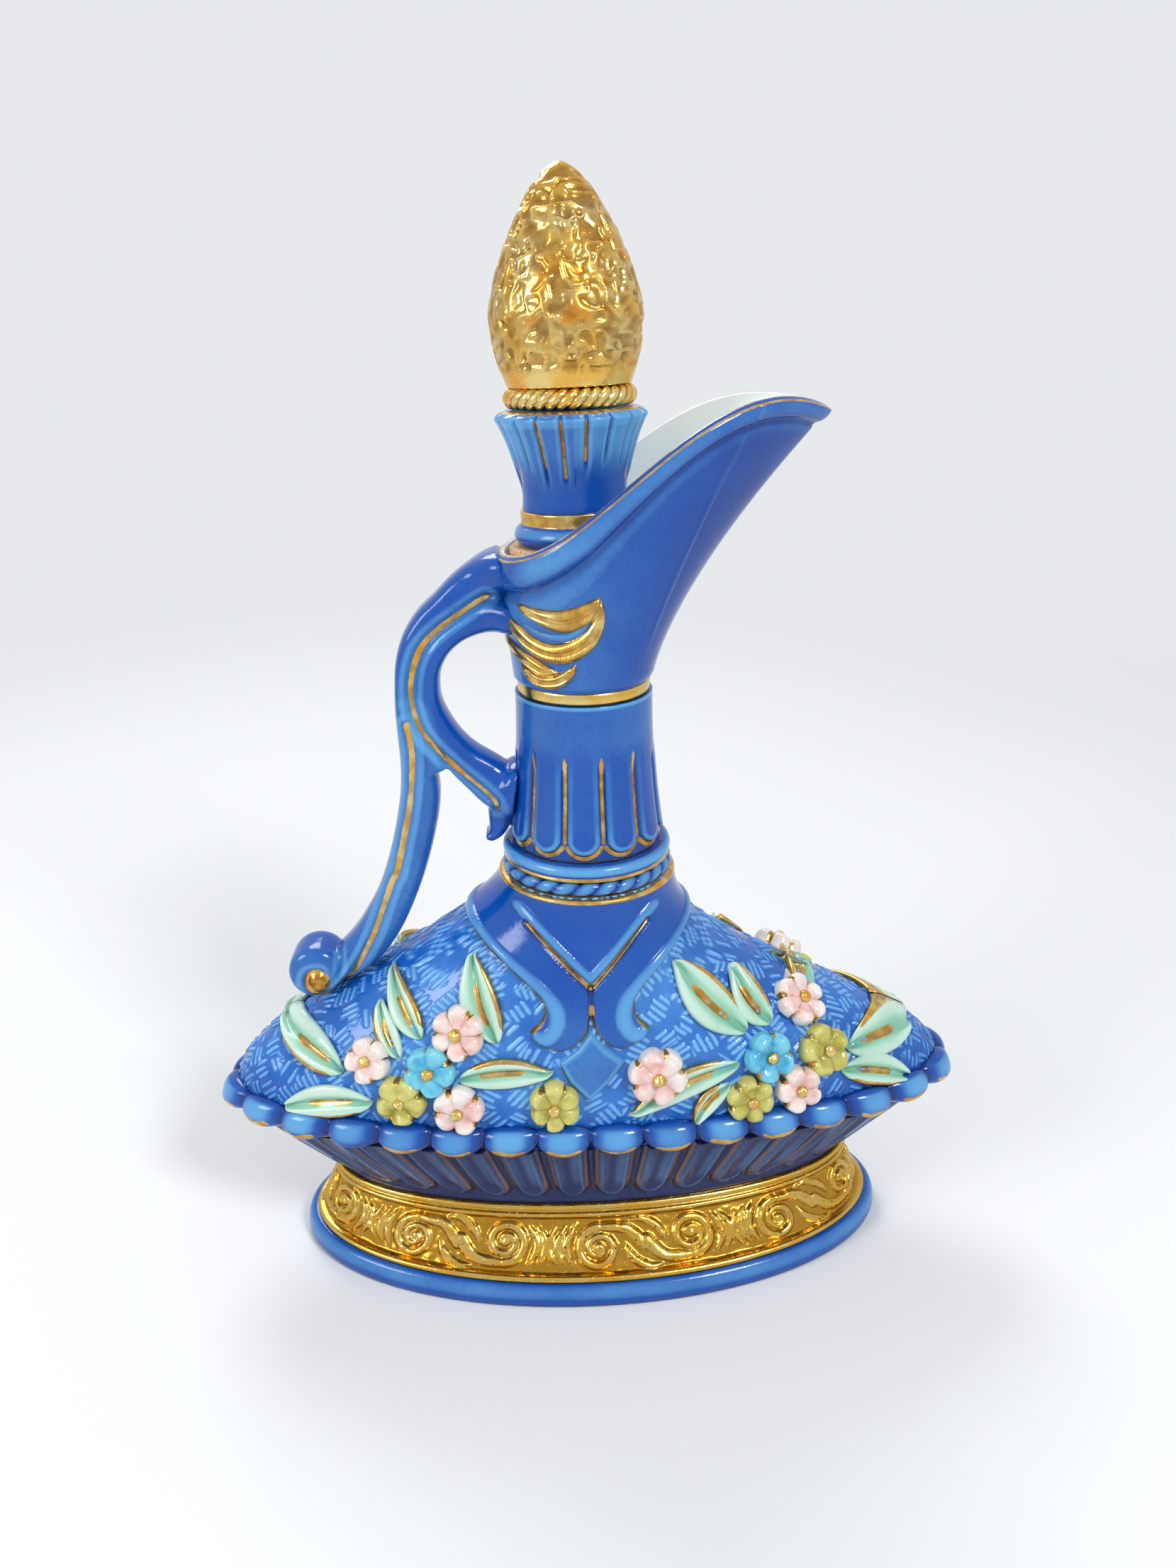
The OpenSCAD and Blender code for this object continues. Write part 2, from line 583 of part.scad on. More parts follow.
// Scroll end: a rounded roll across the handle, with a sunk eye on each face.
module handle_scroll() {
    eye_r = scroll_r * 0.45;
    eye_deep = 1.2;
    round_r = 2.6;
    color(cobalt)
    translate([-89.3, 0, 104.3]) rotate([90, 0, 0])
    rotate_extrude($fn = bore_fine)
    difference() {
        union() {
            translate([0, -scroll_half]) square([scroll_r - round_r, scroll_half * 2]);
            translate([0, round_r - scroll_half]) square([scroll_r, (scroll_half - round_r) * 2]);
            for (e = [-1, 1]) translate([scroll_r - round_r, e * (scroll_half - round_r)])
                circle(round_r, $fn = 32);
        }
        for (e = [-1, 1]) translate([0, e * scroll_half - eye_deep]) square([eye_r, eye_deep * 2]);
        translate([-scroll_r, -scroll_half]) square([scroll_r, scroll_half * 2]);
    }
}

// Acanthus: gold leaves on both cheeks of the head. Each row is the angle round
// the head, the share of the wall's height and the half width.
acanthus = [
    [[222, 0.69, 1], [235, 0.6, 2], [249, 0.555, 2.3], [262, 0.57, 2.3], [272, 0.62, 1]],
    [[205, 0.56, 0.8], [218, 0.45, 1.8], [232, 0.36, 2.4], [247, 0.315, 2.8],
        [260, 0.34, 2.8], [270, 0.42, 2.2], [275, 0.53, 1.2]],
    [[207, 0.335, 0.6], [217, 0.3, 1.5], [228, 0.25, 1.6], [237, 0.225, 0.8]],
    [[218, 0.185, 0.6], [227, 0.148, 1.5], [238, 0.15, 1.8], [248, 0.2, 0.8]]];
function cheek(t, s, h) =
    let(p = cheek_at(t, s), a = cheek_at(t + 1, s) - cheek_at(t - 1, s))
    let(b = cheek_at(t, s + 0.02) - cheek_at(t, s - 0.02))
    p + unit(cross(a, b)) * h;
function cheek_at(t, s) =
    let(rim = rim_at(t, 0), f = pow(s, 1 + 0.4 * max(0, cos(t))), r = neck_top_r + 0.2)
    [r * cos(t) * (1 - f) + rim.x * f, r * sin(t) * (1 - f) + rim.y * f,
     head_z + (rim.z - head_z) * s];
function curl_ring(path, i, crown) =
    let(c = path[i], a = path[max(0, i - 1)], b = path[min(len(path) - 1, i + 1)])
    let(turn = 0.4, tall = 48, d = unit([(b.x - a.x) * turn, (b.y - a.y) * tall]))
    [for (k = [[-1, 0], [0, 0], [1, 0], [0.55, crown], [-0.55, crown]])
        cheek(c.x - d.y * c.z * k.x / turn, c.y + d.x * c.z * k.x / tall, slip + 0.1 + k.y)];
module head_acanthus() {
    crown = 1.8;
    color(copper_gold)
    for (back = [0, 1]) rotate([0, 0, head_turn]) mirror([0, back, 0])
        for (path = acanthus)
            loft([for (i = [0:len(path) - 1]) curl_ring(path, i, crown)]);
}

// Cork: a plain tapered plug, drilled blind for the tang.
tang_low = 22;
torus_h = 6;
collar_low = cork_low + cork_len + torus_h + 4;
collar_h = 27.5;
rope_low = collar_low + collar_h;
stopper_rope_h = 6;
module cork() {
    glue = 0.05;
    color("tan")
    on_stopper_axis()
    difference() {
        translate([0, 0, cork_low])
            cylinder(r1 = cork_foot_r, r2 = cork_foot_r + cork_taper * cork_len, h = cork_len, $fn = bore_fine);
        translate([0, 0, tang_low - glue])
            cylinder(r = tang_r + glue, h = cork_low + cork_len, $fn = 32);
    }
}

// Tang: the stem that joins the cork, the foot ring and the collar.
module stopper_tang() {
    color(navy)
    on_stopper_axis()
    translate([0, 0, tang_low]) cylinder(r = tang_r, h = collar_low + 10 - tang_low, $fn = 32);
}

// Foot ring of the stopper: a blue roll under a gold band.
module stopper_foot_ring() {
    low = cork_low + cork_len;
    glue = 0.05;
    roll_r = torus_h / 2;
    color(cobalt)
    on_stopper_axis()
    translate([0, 0, low])
    rotate_extrude($fn = bore_fine)
    difference() {
        union() {
            square([torus_r - roll_r, torus_h]);
            translate([torus_r - roll_r, roll_r]) circle(roll_r, $fn = 32);
            translate([0, torus_h]) square([collar_r + 0.7, 4]);
        }
        translate([-torus_r, -1]) square([torus_r + tang_r + glue, torus_h + 6]);
    }
}

// Collar: a concave fluted bell that flares to a turned-in edge.
module stopper_collar() {
    per = 3;
    n = collar_flutes * per;
    groove = [-0.9, 0.1, 0.1];
    turned_in = 3;
    stations = [[0, collar_r + 0.3, 0], [0.14, collar_r, 0.3], [0.5, collar_r + 1.8, 0.8],
        [0.8, flare_r - 2.1, 1], [0.92, flare_r, 0.8], [1, flare_r - turned_in, 0]];
    glue = 0.05;
    color(sky)
    on_stopper_axis()
    difference() {
        loft([for (s = stations) [for (j = [0:n - 1])
            let(t = 360 * j / n, r = s.y + groove[j % per] * s.z)
            [r * cos(t), r * sin(t), collar_low + s.x * collar_h]]]);
        translate([0, 0, collar_low - 1]) cylinder(r = tang_r + glue, h = 12, $fn = 32);
    }
}

// Rope ring under the egg.
spigot_r = 13;
module stopper_rope_ring() {
    tube = stopper_rope_h / 2 - 0.15;
    color(copper_gold)
    on_stopper_axis()
    hoop(rope(spigot_r + slip / 2 + tube, tube, rope_low + stopper_rope_h / 2, 18, 3, 5));
}

// Egg: widest a third of the way up, drawn to a blunt nib, on a short spigot.
module egg_finial() {
    wide_at = 18.6;
    foot_r = 17.4;
    nib = 0.985;
    steps = 12;
    low = [for (i = [0:4]) let(t = i / 4)
        [egg_r - (egg_r - foot_r) * pow(1 - t, 2), wide_at * t]];
    high = [for (i = [1:steps]) let(t = nib * i / steps)
        [egg_r * pow(1 - pow(t, 1.2), 0.7), wide_at + (egg_h - wide_at) * t]];
    color(copper_gold)
    on_stopper_axis()
    translate([0, 0, rope_low + stopper_rope_h])
    rotate_extrude($fn = bore_fine)
    union() {
        polygon(concat([[0, 0]], low, high, [[0, egg_h]]));
        translate([0, -stopper_rope_h]) square([spigot_r, stopper_rope_h]);
    }
}

foot_rim();
foot_band();
lower_bowl();
ruffled_rim();
shoulder_shell();
mantle();
mantle_straps();
pendants();
rope_ring();
neck_roll();
fluted_neck();
neck_band();
spout_head();
handle_outer_limb();
handle_inner_limb();
handle_spur();
handle_scroll();
head_acanthus();
leaves_front();
leaves_back();
pink_flowers();
yellow_flowers();
turquoise_flowers();
flower_beads();
cork();
stopper_tang();
stopper_foot_ring();
stopper_collar();
stopper_rope_ring();
egg_finial();
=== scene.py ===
"""Looks of the genie bottle: glazes, gilding, applied flowers and the gold egg stopper.

Shapes are worked out in millimetres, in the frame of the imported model, and turned into
metres when a mesh is made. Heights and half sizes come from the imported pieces.
"""

import math
from functools import partial

import bmesh
import bpy
import numpy as np
from bpy.props import FloatProperty, FloatVectorProperty, IntProperty, PointerProperty
from mathutils import Matrix, Vector


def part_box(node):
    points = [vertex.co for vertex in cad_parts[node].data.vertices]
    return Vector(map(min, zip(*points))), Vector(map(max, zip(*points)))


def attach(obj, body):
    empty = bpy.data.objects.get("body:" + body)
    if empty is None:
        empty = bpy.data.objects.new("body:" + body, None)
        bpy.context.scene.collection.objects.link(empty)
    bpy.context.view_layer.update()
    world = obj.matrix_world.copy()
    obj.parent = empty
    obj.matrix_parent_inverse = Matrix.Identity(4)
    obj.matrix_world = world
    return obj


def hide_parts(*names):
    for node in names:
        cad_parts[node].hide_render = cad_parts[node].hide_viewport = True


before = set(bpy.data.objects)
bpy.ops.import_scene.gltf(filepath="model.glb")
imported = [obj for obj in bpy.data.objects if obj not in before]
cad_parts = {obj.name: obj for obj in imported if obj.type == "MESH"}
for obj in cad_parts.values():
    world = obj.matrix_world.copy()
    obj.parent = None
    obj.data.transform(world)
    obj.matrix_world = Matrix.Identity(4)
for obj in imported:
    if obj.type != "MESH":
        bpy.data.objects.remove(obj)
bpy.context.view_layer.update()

bl_info = {
    "name": "Genie bottle",
    "version": (1, 0, 0),
    "blender": (4, 5, 0),
    "location": "3D View > Sidebar > Bottle",
    "description": "Glazed, gilded and flowered pieces for the packed bottle",
    "category": "Add Mesh",
}

MM = 0.001
TAU = 2 * math.pi
WELD = 0.004
BOTTLE = "bottle"
STOPPER = "stopper"


def low(node):
    """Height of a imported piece's lower end, in millimetres."""
    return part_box(node)[0][2] / MM


def high(node, axis=2):
    """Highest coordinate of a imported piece, in millimetres."""
    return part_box(node)[1][axis] / MM


# Heights of the joints between the stacked pieces, half sizes of the ovals, and the clay.
WALL_Z = low("foot_band")
BOWL_Z = low("lower_bowl")
RUFFLE_Z = high("lower_bowl")
WAIST_Z = low("shoulder_shell")
NECK_Z = high("shoulder_shell")
FLUTE_Z = low("fluted_neck")
ROLL_Z = FLUTE_Z - 4.0
BAND_Z = low("neck_band")
HEAD_Z = high("neck_band")
FOOT_X, FOOT_Y = high("foot_rim", 0), high("foot_rim", 1)
WALL_X, WALL_Y = high("foot_band", 0), high("foot_band", 1)
WAIST_X, WAIST_Y = high("shoulder_shell", 0), high("shoulder_shell", 1)
CLAY = 5.0
BORE_R = 16.0


# Sizes and colours that a user would change.

def length(name, value, text):
    """A length property, given in millimetres."""
    return FloatProperty(name=name, description=text, default=value * MM, min=0.0,
                         precision=4, unit="LENGTH", subtype="DISTANCE")


def colour(name, value, text):
    """A linear colour property."""
    return FloatVectorProperty(name=name, description=text, default=value, size=3,
                               min=0.0, max=1.0, subtype="COLOR")


class BottleBodySizes(bpy.types.PropertyGroup):
    """Relief of the foot, bowl, ruffle and shoulder"""

    lobes: IntProperty(name="Lobes", description="Lobes round the ruffle, each over a tongue of the bowl",
                       default=32, min=24, max=36)
    notch_shift: FloatProperty(name="Notch shift", default=0.88, min=0.0, max=1.0, subtype="FACTOR",
                               description="Where the first notch lies, as a share of a lobe")
    scroll_relief: length("Scroll relief", 1.25, "Height of the scrolls on the gold wall of the foot")
    tongue_relief: length("Tongue relief", 1.7, "Height of the tongues round the bowl")
    lobe_out: length("Lobe reach", 4.4, "How far a lobe stands out beyond the notch beside it")
    lobe_droop: length("Lobe droop", 3.6, "How far a lobe droops below the notch beside it")
    hatch_relief: length("Hatch relief", 0.5, "Height of the short strokes on the shoulder")
    hatch_pitch: length("Hatch pitch", 2.1, "Distance between neighbouring strokes")
    cape_relief: length("Cape relief", 1.7, "How far the cape stands above the shoulder")


class BottleNeckSizes(bpy.types.PropertyGroup):
    """Relief of the neck and head"""

    flutes: IntProperty(name="Flutes", description="Tall panels round the neck", default=12, min=8, max=14)
    flute_depth: length("Flute depth", 1.3, "Depth of the grooves between the panels")
    spout_reach: length("Spout reach", 72.0, "Reach of the pouring tip from the neck axis")
    mouth_half: length("Mouth half width", 26.9, "Half width of the mouth")
    mouth_back: length("Mouth back", 25.0, "Distance of the back of the mouth from the neck axis")
    back_height: length("Back height", 37.3, "Height of the back of the mouth above the gold band")
    rim_rise: length("Rim rise", 42.0, "Rise of the rim towards the spout")
    lip_height: length("Lip height", 9.0, "Height of the rolled lip at the sides")
    lip_swell: length("Lip swell", 1.6, "Swell of the rolled lip")
    wall: length("Wall", 2.8, "Wall of the spout at its rim")


class BottleStopperSizes(bpy.types.PropertyGroup):
    """Sizes of the stopper"""

    lean: FloatProperty(name="Lean", description="Lean towards the handle", default=math.radians(1.6),
                        subtype="ANGLE")
    cork_foot: length("Cork foot radius", 16.8, "Radius of the cork at its lower end")
    cork_low: length("Cork start", 2.0, "Height of the cork's lower end above the gold band")
    cork_length: length("Cork length", 38.4, "Length of the cork")
    egg_radius: length("Egg radius", 21.1, "Greatest radius of the egg")
    egg_height: length("Egg height", 55.6, "Height of the egg")
    egg_relief: length("Egg relief", 0.75, "Height of the chased pattern on the egg")
    collar_grooves: IntProperty(name="Collar grooves", description="Grooves round the fluted collar",
                                default=18, min=12, max=24)


class BottleColours(bpy.types.PropertyGroup):
    """Glaze and metal colours, linear"""

    cobalt: colour("Cobalt", (0.0005, 0.064, 0.36), "Sprayed blue")
    # Dark blue of pooled glaze, also laid on as painted shade.
    pool_and_shade_blue: colour("Deep blue", (0.001, 0.022, 0.17), "Blue where the glaze pools")
    # Pale blue of thinned glaze, also laid on as painted highlight.
    milk: colour("Milky blue", (0.10, 0.34, 0.66), "Blue where the glaze thins over raised work")
    ground: colour("Hatched ground", (0.008, 0.14, 0.56), "Lighter blue between the hatch strokes")
    navy: colour("Navy", (0.006, 0.014, 0.085), "Blue of the bowl")
    rust: colour("Rust edge", (0.30, 0.15, 0.10), "Brown of the bowl's thin edges")
    white: colour("White glaze", (0.82, 0.90, 0.88), "Inside of the spout")
    mint: colour("Mint", (0.26, 0.56, 0.40), "Leaves")
    leaf_edge: colour("Leaf edge", (0.56, 0.74, 0.64), "Raised edges of the leaves")
    pink: colour("Pink", (0.80, 0.47, 0.44), "Pink blossoms")
    yellow: colour("Yellow", (0.36, 0.31, 0.02), "Yellow blossoms")
    turquoise: colour("Turquoise", (0.01, 0.30, 0.60), "Turquoise blossoms")
    blush: colour("Petal white", (0.80, 0.74, 0.70), "Pale parts of the blossoms")
    gold: colour("Gold", (0.78, 0.47, 0.10), "Bright gold")
    # Darker brown gold: painted shade in hollows, and random brown patches on gold lines.
    brown_and_shaded_gold: colour("Old gold", (0.27, 0.105, 0.015), "Gold in the recesses")
    cork: colour("Cork", (0.58, 0.37, 0.21), "Cork")
    bisque: colour("Bisque", (0.72, 0.66, 0.55), "Unglazed clay")
    backdrop: colour("Backdrop", (0.80, 0.82, 0.84), "Pale floor and background")


class BottleSettings(bpy.types.PropertyGroup):
    """All sizes and colours of the bottle"""

    body: PointerProperty(type=BottleBodySizes, name="Body")
    neck: PointerProperty(type=BottleNeckSizes, name="Neck and head")
    stopper: PointerProperty(type=BottleStopperSizes, name="Stopper")
    colours: PointerProperty(type=BottleColours, name="Colours")


def settings():
    """The bottle's settings on the scene."""
    return bpy.context.scene.genie_bottle


def mm(value):
    """A length property in millimetres."""
    return value / MM


# Curves and fields.

def ease(t):
    """0 to 1 with level ends."""
    t = np.clip(t, 0.0, 1.0)
    return t * t * (3.0 - 2.0 * t)


def ridge(gap, half):
    """A rounded ridge, 1 on its line and 0 at half its width."""
    return np.sqrt(np.clip(1.0 - (gap / half) ** 2, 0.0, 1.0))


def unit(v):
    """Vectors of length 1."""
    return v / np.maximum(np.linalg.norm(v, axis=-1, keepdims=True), 1e-12)


def xyz(x, y, z):
    """Points from coordinates that may vary along different axes."""
    return np.stack(np.broadcast_arrays(x, y, z), -1)


def curve(points, count):
    """A smooth curve of count points through the given ones."""
    p = np.asarray(points, float)
    p = np.concatenate([2 * p[:1] - p[1:2], p, 2 * p[-1:] - p[-2:-1]])
    u = np.linspace(0, len(p) - 3 - 1e-9, count)
    i = u.astype(int)
    f = (u - i).reshape((-1,) + (1,) * (p.ndim - 1))
    a, b, c, d = p[i], p[i + 1], p[i + 2], p[i + 3]
    return 0.5 * (2 * b + (c - a) * f + (2 * a - 5 * b + 4 * c - d) * f**2
                  + (3 * b - a - 3 * c + d) * f**3)


def run_along(line):
    """Distance of each point of a line from its start."""
    return np.concatenate([[0.0], np.cumsum(np.linalg.norm(np.diff(line, axis=0), axis=1))])


def away(points, line):
    """Distance of flat points to a polyline."""
    flat = np.asarray(points, float).reshape(-1, 2)
    line = np.asarray(line, float)
    start, step = line[:-1], line[1:] - line[:-1]
    size = np.maximum((step**2).sum(1), 1e-12)
    best = np.full(len(flat), 1e9)
    for s, d, q in zip(start, step, size):
        t = np.clip(((flat - s) @ d) / q, 0, 1)
        gap = flat - s - t[:, None] * d
        best = np.minimum(best, (gap**2).sum(1))
    return np.sqrt(best).reshape(np.shape(points)[:-1])


def inside(points, outline):
    """How far flat points lie inside a closed outline; negative outside."""
    flat = np.asarray(points, float).reshape(-1, 2)
    ring = np.asarray(outline, float)
    odd = np.zeros(len(flat), bool)
    for (x0, z0), (x1, z1) in zip(ring, np.roll(ring, -1, 0)):
        if z0 != z1:
            crosses = (z0 > flat[:, 1]) != (z1 > flat[:, 1])
            odd ^= crosses & (flat[:, 0] < (x1 - x0) * (flat[:, 1] - z0) / (z1 - z0) + x0)
    gap = away(flat, np.vstack([ring, ring[:1]]))
    return np.where(odd, gap, -gap).reshape(np.shape(points)[:-1])


def swell(points, path, count=40):
    """Height of a rounded stroke, 0 to 1. A path gives two coordinates and a half width."""
    height = np.zeros(np.shape(points)[:-1])
    for a, b, half in curve(path, count):
        gap = (points[..., 0] - a) ** 2 + (points[..., 1] - b) ** 2
        dome = np.sqrt(np.clip(1 - gap / max(half, 0.05) ** 2, 0, 1))
        height = np.maximum(height, dome * min(1, half))
    return height


def scatter(cells):
    """A number from 0 to 1 for each row of whole numbers, always the same."""
    c = np.asarray(cells, np.int64).astype(np.uint64)
    mixed = np.uint64(1469598103)
    with np.errstate(over="ignore"):
        for k in range(c.shape[-1]):
            mixed = (mixed ^ c[..., k]) * np.uint64(0x9E3779B97F4A7C15)
            mixed = mixed ^ (mixed >> np.uint64(29))
    return ((mixed >> np.uint64(11)) % np.uint64(100003)).astype(float) / 100002.0


def scattered(numbers, salt):
    """A number from 0 to 1 for each whole number; another salt gives others."""
    return scatter(np.stack([numbers, numbers * 0 + salt], -1))


def grain(points, size, seed=0):
    """Smooth noise from -1 to 1, with lumps of the given size."""
    q = np.asarray(points, float) / size + 31.7 * seed
    cell = np.floor(q).astype(np.int64)
    f = q - cell
    f = f * f * (3 - 2 * f)
    total = 0.0
    for corner in np.ndindex(*(2,) * q.shape[-1]):
        share = np.prod(np.where(np.array(corner, bool), f, 1 - f), axis=-1)
        total = total + share * scatter(cell + np.array(corner))
    return 2 * total - 1


# Grids of points: rows climb, columns run anticlockwise.

def turns_around(count):
    """Evenly spaced turns, in radians."""
    return np.linspace(0, TAU, count, endpoint=False)


def oval_rows(half_x, half_y, z, turns):
    """Rows of an oval skin; half sizes and heights may vary along rows and turns."""
    return xyz(half_x * np.cos(turns), half_y * np.sin(turns), z)


def ovals(rings, turns):
    """Plain oval rings, each given by half length, half width and height."""
    half_x, half_y, z = np.asarray(rings, float).T[..., None]
    return oval_rows(half_x, half_y, z, turns)


def lathe(profile, turns):
    """A round skin from a profile of radius and height."""
    rows = np.asarray(profile, float)
    return oval_rows(rows[:, :1], rows[:, :1], rows[:, 1:], turns)


def outward(grid, around=True, along=False):
    """Unit normals of a grid."""
    across = np.roll(grid, -1, 1) - np.roll(grid, 1, 1) if around else np.gradient(grid, axis=1)
    climb = np.roll(grid, -1, 0) - np.roll(grid, 1, 0) if along else np.gradient(grid, axis=0)
    return unit(np.cross(across, climb))


def padded(values, shape, before=0, after=0, fill=0.0):
    """Values over a grid of a shape, with rows of fill added before and after."""
    return np.pad(np.broadcast_to(values, shape), ((before, after), (0, 0)), constant_values=fill)


def columns(count, per):
    """Number of the panel and share of its width for each column of count panels."""
    column = np.arange(count * per)
    return column // per, (column % per) / per


def from_groove(phase):
    """Share of a panel's width from the nearest groove between panels, -0.5 to 0.5."""
    return np.where(phase < 0.5, phase, phase - 1)


# Values kept at the points of each mesh, and what they are where a piece gives none.
MARKS = {"milk": 0.0, "pool": 0.0, "gilt": -3.0, "bare": 0.0, "rust": 0.0}


def set_mark(mesh, mark, values):
    """Keeps one value for each point of a mesh."""
    layer = mesh.attributes.new(mark, "FLOAT", "POINT")
    layer.data.foreach_set("value", np.asarray(values, np.float32))


def mirrored(grid, marks):
    """The same grid and marks on the back of the bottle."""
    flip = {name: np.broadcast_to(value, grid.shape[:2])[:, ::-1] for name, value in marks.items()}
    return (grid * [1, -1, 1])[:, ::-1], flip


class Form:
    """Grids of points in millimetres that become one mesh, with values at their points."""

    def __init__(self):
        self.points, self.faces, self.count = [], [], 0
        self.marks = {name: [] for name in MARKS}

    def add(self, grid, around=True, along=False, keep=None, **marks):
        """Adds a grid. keep says which points have a face; marks are values at the points."""
        rows, cols = grid.shape[:2]
        index = np.arange(rows * cols).reshape(rows, cols)
        if around:
            index = np.concatenate([index, index[:, :1]], 1)
        if along:
            index = np.concatenate([index, index[:1]], 0)
        quads = np.stack([index[:-1, :-1], index[:-1, 1:], index[1:, 1:], index[1:, :-1]], -1).reshape(-1, 4)
        if keep is not None:
            quads = quads[keep.reshape(-1)[quads].any(1)]
        self.points.append(grid.reshape(-1, 3))
        self.faces.append(quads + self.count)
        for name, absent in MARKS.items():
            self.marks[name].append(np.broadcast_to(marks.get(name, absent), (rows, cols)).reshape(-1))
        self.count += rows * cols
        return self

    def both(self, grid, marks, **options):
        """Adds a grid on the front and its mirror image on the back."""
        self.add(grid, **options, **marks)
        back, flip = mirrored(grid, marks)
        if options.get("keep") is not None:
            options = {**options, "keep": options["keep"][:, ::-1]}
        return self.add(back, **options, **flip)

    def mesh(self, name):
        """The mesh in metres, smooth, with touching points joined and loose ones dropped."""
        points, faces = np.concatenate(self.points) * MM, np.concatenate(self.faces)
        mesh = bpy.data.meshes.new(name)
        mesh.vertices.add(len(points))
        mesh.vertices.foreach_set("co", points.ravel())
        mesh.loops.add(faces.size)
        mesh.loops.foreach_set("vertex_index", faces.ravel())
        mesh.polygons.add(len(faces))
        mesh.polygons.foreach_set("loop_start", np.arange(0, faces.size, 4))
        mesh.update(calc_edges=True)
        for mark, values in self.marks.items():
            set_mark(mesh, mark, np.concatenate(values))
        work = bmesh.new()
        work.from_mesh(mesh)
        bmesh.ops.remove_doubles(work, verts=work.verts, dist=WELD * MM)
        bmesh.ops.delete(work, geom=[v for v in work.verts if not v.link_faces], context="VERTS")
        work.to_mesh(mesh)
        work.free()
        mesh.shade_smooth()
        return mesh

    def piece(self, name, recipe, nodes, slot, body=BOTTLE):
        """Turns the form into a piece of the bottle or its stopper."""
        make_piece(name, self.mesh(name), recipe, nodes, body)


def put_on_scene(name, data):
    """A new object on the scene."""
    made = bpy.data.objects.new(name, data)
    bpy.context.scene.collection.objects.link(made)
    return made


def make_piece(name, mesh, recipe, nodes, body=BOTTLE):
    """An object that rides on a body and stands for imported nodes."""
    if not mesh.polygons:
        raise RuntimeError(name + " has no faces")
    mesh.materials.clear()
    mesh.materials.append(finish(recipe))
    made = put_on_scene(name, mesh)
    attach(made, body)
    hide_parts(*nodes)


# Shader maths as expressions.

class Wire:
    """A socket on a node sheet; its operators add Math nodes."""

    def __init__(self, sheet, socket):
        self.sheet, self.socket = sheet, socket

    def __add__(self, other):
        return self.sheet.maths("ADD", self, other)

    def __sub__(self, other):
        return self.sheet.maths("SUBTRACT", self, other)

    def __rsub__(self, other):
        return self.sheet.maths("SUBTRACT", other, self)

    def __mul__(self, other):
        return self.sheet.maths("MULTIPLY", self, other)

    __radd__ = __add__
    __rmul__ = __mul__


class Sheet:
    """The node sheet of a material or world."""

    def __init__(self, owner):
        owner.use_nodes = True
        self.owner, self.tree = owner, owner.node_tree
        self.tree.nodes.clear()

    def node(self, kind, options=None, inputs=None, out=0):
        """Adds a node: its options first, then the values or links of its sockets."""
        made = self.tree.nodes.new(kind)
        for key, value in (options or {}).items():
            setattr(made, key, value)
        for key, value in (inputs or {}).items():
            if isinstance(value, Wire):
                self.tree.links.new(value.socket, made.inputs[key])
            else:
                made.inputs[key].default_value = value
        return Wire(self, made.outputs[out]) if made.outputs else None

    def maths(self, operation, a, b):
        """A Math node on two numbers."""
        return self.node("ShaderNodeMath", {"operation": operation}, {0: a, 1: b})

    def mark(self, name):
        """A value that the mesh holds at its points."""
        return self.node("ShaderNodeAttribute", {"attribute_name": name}, out="Fac")

    def place(self):
        """Place in the object's own frame, in metres."""
        return self.node("ShaderNodeTexCoord", out="Object")

    def step(self, value, start, end):
        """0 at start, 1 at end, smooth between."""
        return self.node("ShaderNodeMapRange", {"interpolation_type": "SMOOTHSTEP"},
                         {0: value, 1: start, 2: end, 3: 0.0, 4: 1.0})

    def noise(self, size, detail=2.0, rough=0.5, warp=0.0):
        """Noise from 0 to 1 with lumps of a size in millimetres."""
        return self.node("ShaderNodeTexNoise", {"noise_dimensions": "3D"},
                         {"Vector": self.place(), "Scale": 1.0 / (size * MM), "Detail": detail,
                          "Roughness": rough, "Distortion": warp})

    def blend(self, first, second, share):
        """A colour between two, by share."""
        rgba = [c if isinstance(c, Wire) else (*tuple(c)[:3], 1.0) for c in (first, second)]
        return self.node("ShaderNodeMix", {"data_type": "RGBA"}, {0: share, 6: rgba[0], 7: rgba[1]}, out=2)

    def bump(self, height, depth):
        """A normal bent by a height from 0 to 1; depth in millimetres."""
        return self.node("ShaderNodeBump", {}, {"Height": height, "Distance": depth * MM, "Strength": 1.0})

    def seen(self):
        """1 where the camera, a mirror or glass looks, 0 where light falls on other things."""
        camera, glossy, clear = [self.node("ShaderNodeLightPath", out=f"Is {kind} Ray")
                                 for kind in ("Camera", "Glossy", "Transmission")]
        return self.maths("MAXIMUM", self.maths("MAXIMUM", camera, glossy), clear)

    def mixed(self, share, first, second):
        """One shader or the other, by share."""
        return self.node("ShaderNodeMixShader", {}, {0: share, 1: first, 2: second})

    def finished(self, surface, output="ShaderNodeOutputMaterial"):
        """Ends the sheet in its output."""
        self.node(output, {}, {"Surface": surface})
        return self.owner

    def principled(self, inputs):
        """Ends the sheet in a principled surface."""
        return self.finished(self.node("ShaderNodeBsdfPrincipled", {}, inputs))


# Finishes. The marks on a mesh steer them: the pale mark is where the glaze thins to pale
# blue and where a highlight is painted on, the pool mark where the glaze gathers dark and where
# shade is painted in (on gold, shade painted in as darker brown gold), "gilt" how far inside a gold
# stroke in mm, "bare" where the white inside shows and "rust" where an edge burns brown.

def gold_share(sheet, softness=0.16):
    """Share of gold: brushed strokes with a slightly ragged edge."""
    ragged = sheet.noise(0.9) - 0.5
    return sheet.step(sheet.mark("gilt") + ragged * 0.5, -softness, softness)


